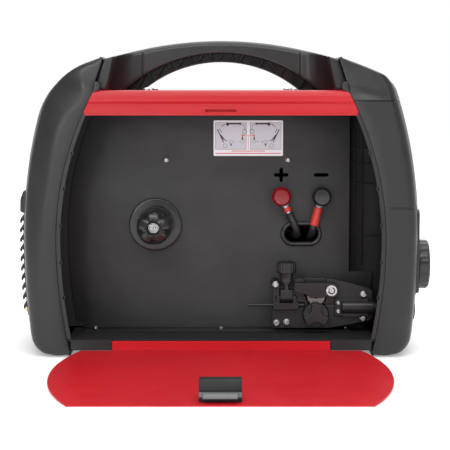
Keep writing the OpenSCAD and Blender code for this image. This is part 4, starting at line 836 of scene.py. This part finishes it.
# ---------- carry handle ----------

GRIP_D0, ROOT_D = 94.5, 14.0
ARCH_Z, ARCH_R, SKIN_Z, SKIN_R = 189.4, 147.0, 175.4, 171.0


def top_z(x):
    return TOP_CZ + math.sqrt(TOP_R ** 2 - x * x)


def arch(x, cz, r):
    return max(TOP, cz + math.sqrt(max(0.0, r * r - x * x)))


def handle_stations():
    s = [(6.0 * k, GRIP_D0) for k in range(16)]
    s += [(90.8, GRIP_D0), (91.6, 94.3), (92.4, 93.7), (93.2, 93.1), (94.2, 92.6)]
    for k in range(15):
        a = math.radians(mix(-5, 90, k / 14))
        s.append((98 + 32 * math.sin(a), 56.5 + 36 * math.cos(a)))
    return s + [(130, 46), (130, 34), (130, 22), (130.15, 16.4), (130.7, 14.6), (131.6, ROOT_D),
                (135, ROOT_D), (139, ROOT_D), (142.6, ROOT_D), (143.6, ROOT_D + 0.3), (144.1, ROOT_D + 1)]


def handle():
    half = handle_stations()
    full = [(-x, d) for x, d in reversed(half[1:])] + half
    rows = []
    for x, d in full:
        s = 1 if x >= 0 else -1
        lean = max(0.0, min(1.0, (abs(x) - 98) / 46.0))
        place = lambda z: s * (abs(x) - lean * (z - TOP) * (PART_X - CROWN_X) / PART_RISE)
        zt = TOP + 40
        for _ in range(3):
            zt = top_z(place(zt))
        zt -= 2.8 * max(0.0, min(1.0, (GRIP_D0 - d) / 80))
        zb = arch(x, SKIN_Z, SKIN_R)
        r = mix(7.5, 3.0, ease((abs(x) - 92) / 34))
        half_row = [(d + 1.5, zb), (d + 0.5, zb + 0.35), (d, zb + 1.4)]
        half_row += [(d, mix(zb + 1.4, zt - r, k / 6)) for k in range(1, 7)]
        half_row += [(d + r * (1 - math.cos(math.radians(a))), zt - r * (1 - math.sin(math.radians(a))))
                     for a in (11, 22, 34, 45, 56, 68, 79, 90)]
        row = half_row + [(mix(d + r, CASE_D - d - r, k / 4), zt) for k in range(1, 4)]
        row += [(CASE_D - dd, zz) for dd, zz in reversed(half_row)]
        row += [(mix(CASE_D - d - 1.5, d + 1.5, k / 4), zb) for k in range(1, 4)]
        rows.append([P(place(zz), dd, zz) for dd, zz in row])
    return moulding("carry_handle_skin", rows, "handle", 32, weld=WELD)


def handle_core():
    rows = []
    for k in range(77):
        x = mix(-114, 114, k / 76)
        zc, zs = arch(x, ARCH_Z, ARCH_R), arch(x, SKIN_Z, SKIN_R) + 2
        rows.append([P(x, d, z) for d, z in (
            (97.6, zc + 0.5), (98.1, zc), (136.9, zc), (137.4, zc + 0.5), (137.4, zc + 1.4),
            (136.9, zc + 1.8), (131.5, zc + 1.8), (131.5, zs), (103.5, zs), (103.5, zc + 1.8),
            (98.1, zc + 1.8), (97.6, zc + 1.4))])
    parts = [moulding("core", rows, "handle_core", 35, weld=WELD)]
    for k in range(-9, 10):
        x = 12.0 * k
        z0, z1 = arch(x, ARCH_Z, ARCH_R) + 2.2, arch(x, SKIN_Z, SKIN_R) + 1
        if z1 - z0 < 2:
            continue
        zm, h = (z0 + z1) / 2, (z1 - z0) / 2
        dx = h * math.tan(math.radians(28)) * (1 if k % 2 == 0 else -1)
        sec = [(-dx - 0.9, -h), (-dx + 0.9, -h), (dx + 0.9, h), (dx - 0.9, h)]
        for d0, d1 in ((95.8, 104), (131, CASE_D - 95.8)):
            parts.append(bar("rib", P(x, d0, zm), P(x, d1, zm), sec, "handle_core", bevel=0.3))
    return join("handle_core", parts)


stands_for(handle(), "carry_handle")
handle_core()
tabs = []
for s in (-1, 1):
    for a, b in ((0.9, 14.6), (CASE_D - 14.6, CASE_D - 0.9)):
        sec = [(s * x, z - 305) for x, z in ((144.3, 299.7), (143.2, 299.2), (139.2, 302.6), (136.6, 303.6),
                                             (135.9, 309.5), (137.4, 312.5), (142.0, 312.5))]
        tabs.append(bar("tab", P(0, a, 305), P(0, b, 305), sec, "handle", 0.6))
join("handle_tabs", tabs)


# ---------- spool hub ----------

HUB_X, HUB_Z = -78.0, 144.5


def hub_lobes(r, w, a):
    """Five rounded notches in the front of the hub's dome."""
    if w > 44 or r < 8.2:
        return 1.0
    step = 2 * math.pi / 5
    off = (a - math.pi / 2 + math.pi + step / 2) % step - step / 2
    return 1 - 0.19 * math.exp(-(off / 0.2) ** 2) * ease((44 - w) / 5)


dome = [(7.4, 47), (7.4, 34.2), (7.9, 32.9), (9.0, 31.6), (10.6, 30.9)]
dome += [(20 * math.cos(math.radians(a)), 39.5 - 9.2 * math.sin(math.radians(a))) for a in range(64, -1, -5)]
dome += [(20, 42), (20, 44.2), (19.8, 46), (19.8, 60), (19.8, 76), (19.4, 79.5), (19.4, 81.2),
         (20.4, 82.2), (22, 82.1), (29.4, 81.9), (30.5, 82.2), (31, 83.0), (31, 86.2), (30.7, 86.8),
         (12, 86.8), (7.4, 86.8)]
hub = lathe("hub_moulding", facing(HUB_X, HUB_Z), dome, "hub", "hub", 120, hub_lobes, 46)
stands_for(hub, "spool_hub")


# ---------- terminals, leads and grommet ----------

TERM_Z, PLUS_X, MINUS_X = 178.0, 71.0, 118.5
KNOB_BASE = 80.9
head = soft_line([(0.05, KNOB_BASE - 17.3), (8.6, KNOB_BASE - 17.3), (9.6, KNOB_BASE - 15.6),
                  (9.3, KNOB_BASE - 9.6), (10.0, KNOB_BASE - 8.8), (11.5, KNOB_BASE - 7.2),
                  (11.5, KNOB_BASE - 0.8), (10.8, KNOB_BASE), (3.1, KNOB_BASE), (3.1, KNOB_BASE - 13)],
                 0.7, 4)
for x, tag, mat in ((PLUS_X, "red", "red_knob"), (MINUS_X, "black", "knob_gloss")):
    k = lathe("terminal_nut_" + tag, facing(x, TERM_Z), head, mat,
              "plus_knob" if tag == "red" else "minus_knob", 72, angle=60)
    stands_for(k, "terminal_knob_" + tag)

POS_DIR, NEG_DIR = Vector((6.2, -0.7, -13.2)), Vector((-3.2, -0.62, -12.2))


def along(x, direction, s):
    v = Vector((x, 82, TERM_Z)) + direction.normalized() * s
    return P(v.x, v.y, v.z)


LEAD_R = 4.3
pos_route = [along(PLUS_X, POS_DIR, 21.4), along(PLUS_X, POS_DIR, 27.4)] + [P(*p) for p in (
    (86, 79, 146), (88.5, 79.5, 139.5), (90, 84.5, 134), (90, 93, 131.5), (86, 105, 132), (77, 115, 137),
    (66, 126, 144), (55, 133.2, 150.5), (41, 133.4, 157))]
neg_route = [along(MINUS_X, NEG_DIR, 21.4), along(MINUS_X, NEG_DIR, 35.8)] + [P(*p) for p in (
    (108.5, 78.8, 140.5), (107.2, 84, 134.3), (106.5, 92, 131.5), (106, 104, 128), (104, 120, 119),
    (98, 138, 106), (90, 153, 95), (82, 165, 90), (74, 176, 88.6))]
for tag, route in (("pos", pos_route), ("neg", neg_route)):
    stands_for(sweep("lead_" + tag, route, LEAD_R, "lead", 24, 8), "welding_lead_" + tag)
sleeve = sweep("lug_boot", [along(MINUS_X, NEG_DIR, 13.8 + 22 * k / 8) for k in range(9)],
               lambda t: 5.15 + 0.12 * math.sin(17 * t) + (0.15 if t > 0.9 else 0), "sleeve", 28, 3, 50)
stands_for(sleeve, "lug_sleeve")


def stadium_at(s, hw, r):
    """Point and outward normal at share s of a stadium with half straight length hw and end radius r."""
    total = 4 * hw + 2 * math.pi * r
    q = (s % 1.0) * total
    if q < 2 * hw:
        return (-hw + q, r), (0, 1)
    q -= 2 * hw
    if q < math.pi * r:
        a = math.pi / 2 - q / r
        return (hw + r * math.cos(a), r * math.sin(a)), (math.cos(a), math.sin(a))
    q -= math.pi * r
    if q < 2 * hw:
        return (hw - q, -r), (0, -1)
    q -= 2 * hw
    a = -math.pi / 2 - q / r
    return (-hw + r * math.cos(a), r * math.sin(a)), (math.cos(a), math.sin(a))


def grommet():
    hw, r = (43.75 - 24.15) / 2, 24.15 / 2
    sec = [(2.75 * math.cos(math.radians(a)), 88.0 - 3.1 * math.sin(math.radians(a)))
           for a in range(0, 181, 15)]
    sec += [(-2.75, 91.8), (-0.6, 92.2), (-0.05, 91.6), (-0.05, 88.0)]
    rows = []
    for k in range(96):
        (px, pz), (nx, nz) = stadium_at(k / 96, hw, r)
        rows.append([P(95 + px + nx * e, d, 133 + pz + nz * e) for e, d in sec])
    return moulding("grommet_ring", rows, "rubber_gloss", 50, weld=WELD, ring=True)


stands_for(grommet(), "panel_grommet")


# ---------- door latch ----------

HINGE_D, HINGE_Z = 3.9, 13.0
OPEN = math.radians(92.02921)
LATCH_Z = 273.7


def door_point(x, d, z):
    """Where a point of the closed door lies when the door is down."""
    dd, dz = d - HINGE_D, z - HINGE_Z
    return P(x, HINGE_D + dd * math.cos(OPEN) - dz * math.sin(OPEN),
             HINGE_Z + dd * math.sin(OPEN) + dz * math.cos(OPEN))


def door_prism(name, half, section, mat, body, bevel):
    """Prism across the open door, from its middle out to half either way."""
    rows = [[door_point(x, d, z) for d, z in section] for x in (-half, half)]
    return moulding(name, rows, mat, 35, bevel, WELD, body, segments=3, angle_limit=math.radians(25))


house = [(1.85, LATCH_Z - 0.6), (2.5, LATCH_Z), (5.9, LATCH_Z), (5.9, LATCH_Z - 6), (12.3, LATCH_Z - 6),
         (12.3, LATCH_Z - 0.9), (13.4, LATCH_Z - 0.3), (16.5, LATCH_Z - 1.3), (19.5, LATCH_Z - 3.0),
         (22.0, LATCH_Z - 5.2), (22.8, LATCH_Z - 7), (22.8, LATCH_Z - 20), (21.8, LATCH_Z - 22),
         (1.85, LATCH_Z - 22)]
stands_for(door_prism("latch_body", 21, house, "latch", "door", 0.7), "latch_housing")
blade = [(6.2, LATCH_Z - 5), (6.2, LATCH_Z + 0.2), (7.2, LATCH_Z + 0.8), (11.2, LATCH_Z + 0.1),
         (12.0, LATCH_Z - 1.4), (12.0, LATCH_Z - 5)]
nose = [(6.5, LATCH_Z - 1), (6.5, LATCH_Z + 6.9), (8.2, LATCH_Z + 6.9), (11.1, LATCH_Z + 3),
        (11.1, LATCH_Z - 1)]
tongue = join("latch_blade", [door_prism("blade", 20.8, blade, "strip", "latch", 0.3),
                              door_prism("nose", 17, nose, "strip", "latch", 0.3)])
stands_for(tongue, "latch_tongue")


# ---------- polarity label: two framed line drawings, no words ----------

LABEL_X, LABEL_Z, LABEL_D = 32.0, 246.5, 87.7


def ink(name, shapes, mat, lift=0.05):
    """Flat marks on the label; each shape is a convex loop of (x, z) from the label's centre."""
    bm = bmesh.new()
    for loop in shapes:
        front = [bm.verts.new(P(LABEL_X + x, LABEL_D - lift, LABEL_Z + z)) for x, z in loop]
        back = [bm.verts.new(P(LABEL_X + x, LABEL_D - 0.005, LABEL_Z + z)) for x, z in loop]
        bm.faces.new(front)
        bm.faces.new(list(reversed(back)))
        n = len(loop)
        for k in range(n):
            bm.faces.new((front[k], back[k], back[(k + 1) % n], front[(k + 1) % n]))
    bmesh.ops.recalc_face_normals(bm, faces=bm.faces)
    me = bpy.data.meshes.new(name)
    bm.to_mesh(me)
    bm.free()
    o = link(name, me, mat, smooth=False)
    return o


def stroke(a, b, w):
    dx, dz = b[0] - a[0], b[1] - a[1]
    m = math.hypot(dx, dz)
    nx, nz = -dz / m * w / 2, dx / m * w / 2
    return [(a[0] + nx, a[1] + nz), (a[0] - nx, a[1] - nz), (b[0] - nx, b[1] - nz), (b[0] + nx, b[1] + nz)]


def outline(pts, w, closed=True):
    n = len(pts)
    return [stroke(pts[k], pts[(k + 1) % n], w) for k in range(n if closed else n - 1)]


def disc(x, z, r, n=20):
    return [(x + r * math.cos(2 * math.pi * k / n), z + r * math.sin(2 * math.pi * k / n)) for k in range(n)]


def hoop(x, z, r, w, n=20):
    return outline(disc(x, z, r, n), w)


black, red, pale = [], [], []
for s in (-1, 1):
    m = lambda x: s * x
    pale.append([(m(2.4), 18.2), (m(38.8), 18.2), (m(38.8), -13.2), (m(2.4), -13.2)][::s])
    black += outline([(m(2.4), 18.2), (m(38.8), 18.2), (m(38.8), -13.2), (m(2.4), -13.2)], 0.35)
    # torch with its cable loop
    black += [stroke((m(9.4), 17.0), (m(24.0), 17.0), 1.7), disc(m(9.6), 17.0, 1.3), disc(m(24.4), 16.6, 2.0)]
    black += outline([(m(27.5), 16.6), (m(32.0), 13.4)], 0.7, False)
    black += outline([(m(8.6), 16.4), (m(5.0), 15.2), (m(3.9), 11.0), (m(4.2), 8.4)], 0.35, False)
    black += hoop(m(4.4), 8.0, 2.5, 0.5)
    # earth clamp
    black += [stroke((m(36.6), 10.6), (m(29.2), -4.8), 1.1), stroke((m(34.0), 11.4), (m(31.6), 6.2), 0.7),
              stroke((m(33.2), 4.2), (m(28.6), -1.6), 1.5), stroke((m(28.8), -1.4), (m(25.4), -3.4), 0.9)]
    black += hoop(m(27.4), -9.0, 2.4, 0.35)
    # the two studs with their leads
    for x, z in ((20.6, -4.4), (7.0, -3.8)):
        black += hoop(m(x), z, 2.0, 0.3)
    black += [stroke((m(20.6), -6.6), (m(20.2), -8.8), 1.7), stroke((m(7.0), -1.6), (m(7.0), 0.8), 1.7)]
    black += [stroke((m(16.0), -4.4), (m(17.6), -4.4), 0.5), stroke((m(10.4), -3.8), (m(12.0), -3.8), 0.5)]
    red += [stroke((m(7.0), 0.8), (m(7.0), 4.4), 1.3), stroke((m(0.2), 3.6), (m(5.2), 3.6), 0.5)]
    red.append([(m(5.0), 4.7), (m(5.0), 2.5), (m(6.8), 3.6)][::s])
black += [stroke((16.8, -5.2), (16.8, -3.6), 0.5), stroke((11.2, -4.6), (11.2, -3.0), 0.5)]
red += [stroke((0, 3.4), (0, -13.2), 0.55), stroke((-19.5, -15.2), (19.5, -15.2), 0.9),
        stroke((-38.6, -18.0), (38.6, -18.0), 0.9)]
ink("label_panels", pale, "label_pale", 0.03)
ink("label_drawing", black, "print_black")
ink("label_accent", red, "print_red")


# ---------- softened copies of small mouldings ----------

def soften(node, voxel, rounds, keep, mat):
    """Replaces a moulding by a copy whose edges are rounded; keep is the share of faces left."""
    src = frame["nodes"][node]
    o = bpy.data.objects.new(node + "_moulding", src.data.copy())
    bpy.context.scene.collection.objects.link(o)
    o.matrix_world = src.matrix_world
    modify(o, "REMESH", mode="VOXEL", voxel_size=voxel * MM, use_smooth_shade=True)
    modify(o, "SMOOTH", factor=0.5, iterations=rounds)
    modify(o, "DECIMATE", ratio=keep)
    apply_mods(o)
    o.data.materials.clear()
    o.data.materials.append(MAT[mat])
    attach(o, body_of[node])
    stands_for(o, node)
    smooth_by_angle(o, 40)


body_of = {n: b for b, ns in frame["record"]["behaviour"]["bodies"].items() for n in ns}
for node, voxel, rounds, keep, mat in (
        ("feeder_body", 0.5, 3, 0.35, "feeder"), ("pressure_arm", 0.4, 4, 0.35, "feeder"),
        ("roller_knob", 0.3, 4, 0.4, "knob"), ("tension_knob", 0.25, 2, 0.4, "knob"),
        ("selector_knob", 0.5, 2, 0.4, "knob"), ("speed_knob", 0.35, 2, 0.4, "knob"),
        ("torch_gland", 0.35, 2, 0.4, "knob"), ("earth_gland", 0.35, 2, 0.4, "knob"),
        ("mains_gland", 0.35, 2, 0.4, "knob"), ("power_switch", 0.3, 2, 0.4, "knob"),
        ("control_plate", 0.6, 2, 0.2, "knob")):
    soften(node, voxel, rounds, keep, mat)


def flatten(name, x0, keep):
    """Presses what stands beyond x0 back towards it, as on a low lock nut."""
    o = bpy.data.objects[name]
    for v in o.data.vertices:
        if v.co.x > x0 * MM:
            v.co.x = x0 * MM + (v.co.x - x0 * MM) * keep


flatten("torch_gland_moulding", 223.4, 0.22)

# Collar on the positive lead's lug and the rings of the hub's lock nut
collar = sweep("lug_collar", [along(PLUS_X, POS_DIR, 14.6 + 5.2 * k / 4) for k in range(5)],
               4.6, "sleeve", 28, 3, 50)
nd = (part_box("hub_nut")[0].y - Y0) / MM
rings = soft_line([(6.6, nd + 0.1), (6.6, nd - 0.9), (5.6, nd - 1.3), (4.6, nd - 1.2), (4.3, nd - 0.2),
                   (3.5, nd - 0.2), (3.3, nd - 1.9), (2.6, nd - 2.3), (0.9, nd - 2.4), (0.7, nd - 1.4),
                   (0.05, nd - 1.4)], 0.3, 3)
cap = lathe("hub_nut_rings", facing(HUB_X, HUB_Z), rings[::-1] + [(0.05, nd + 0.1)], "nut", "case", 48,
            angle=50)


# ---------- floor, light and camera ----------

FLOOR = 5.0
floor = bpy.data.objects.new("floor", from_rows("floor", [[Vector((x, y, 0)) for y in (-FLOOR, FLOOR)]
                                                          for x in (-FLOOR, FLOOR)]))
bpy.context.scene.collection.objects.link(floor)
fm, fnt, fb = new_mat("floor_white")
fnt.links.new(ramp(fnt, noise(fnt, 3, 2), [(0.3, (0.86, 0.86, 0.86)), (0.7, (0.9, 0.9, 0.9))]),
              fb.inputs["Base Color"])
fb.inputs["Roughness"].default_value = 0.7
fb.inputs["Emission Color"].default_value = (1, 1, 1, 1)
ftc = fnt.nodes.new("ShaderNodeTexCoord")
# Far from the piece the floor glows, so that it meets the white backdrop without a line
far = fnt.nodes.new("ShaderNodeVectorMath")
far.operation = "LENGTH"
fnt.links.new(ftc.outputs["Object"], far.inputs[0])
fnt.links.new(to_range(fnt, far.outputs["Value"], 0.28, 0.85, 0.7, 2.2), fb.inputs["Emission Strength"])
floor.data.materials.append(fm)


def area(name, loc, target, size, power, size_y=None):
    l = bpy.data.lights.new(name, "AREA")
    l.energy = power
    l.size = size
    if size_y:
        l.shape = "RECTANGLE"
        l.size_y = size_y
    o = bpy.data.objects.new(name, l)
    o.location = loc
    o.visible_camera = False
    o.rotation_euler = (Vector(target) - Vector(loc)).to_track_quat("-Z", "Y").to_euler()
    bpy.context.scene.collection.objects.link(o)
    return o


area("key", (-0.15, -1.5, 1.75), (0, 0.1, 0.2), 2.4, 26, 0.5)
area("left_strip", (-0.62, -1.75, 0.62), (-0.15, 0.0, 0.2), 0.16, 6, 0.7)
area("right_strip", (1.0, -1.6, 0.95), (0, 0.05, 0.16), 0.25, 4, 0.8)
soft = area("front_soft", (0.0, -2.6, 0.55), (0, 0.1, 0.15), 1.2, 15, 0.8)
soft.visible_glossy = False
area("top", (0.1, 0.2, 1.9), (0, 0.1, 0.2), 1.6, 22)
area("back", (0.3, 1.7, 1.3), (0, 0.4, 0.2), 1.8, 18)
world = bpy.data.worlds.new("world")
bpy.context.scene.world = world
world.use_nodes = True
wnt = world.node_tree
wnt.links.new(ramp(wnt, to_range(wnt, split_xyz(wnt, "Generated")["Y"], 0, 1, -1, 1),
                   [(0.1, (0.2, 0.2, 0.2)), (0.75, (0.75, 0.75, 0.75))]),
              wnt.nodes["Background"].inputs["Color"])
wnt.nodes["Background"].inputs["Strength"].default_value = 0.8
plain = wnt.nodes.new("ShaderNodeBackground")
plain.inputs["Color"].default_value = (1, 1, 1, 1)
seen = wnt.nodes.new("ShaderNodeMixShader")
path = wnt.nodes.new("ShaderNodeLightPath")
wnt.links.new(path.outputs["Is Camera Ray"], seen.inputs[0])
wnt.links.new(wnt.nodes["Background"].outputs[0], seen.inputs[1])
wnt.links.new(plain.outputs[0], seen.inputs[2])
wnt.links.new(seen.outputs[0], wnt.nodes["World Output"].inputs["Surface"])
bpy.context.scene.view_settings.view_transform = "Standard"

cam = bpy.data.cameras.new("camera")
cam.lens = 1524 / 450 * 36
cam.sensor_width = 36
cam_o = bpy.data.objects.new("camera", cam)
cam_o.location = (0.0045, Y0 - 1.714, 0.3055)
cam_o.rotation_euler = (math.radians(84.863), 0, 0)
cam.clip_end = 50
bpy.context.scene.collection.objects.link(cam_o)
bpy.context.scene.camera = cam_o
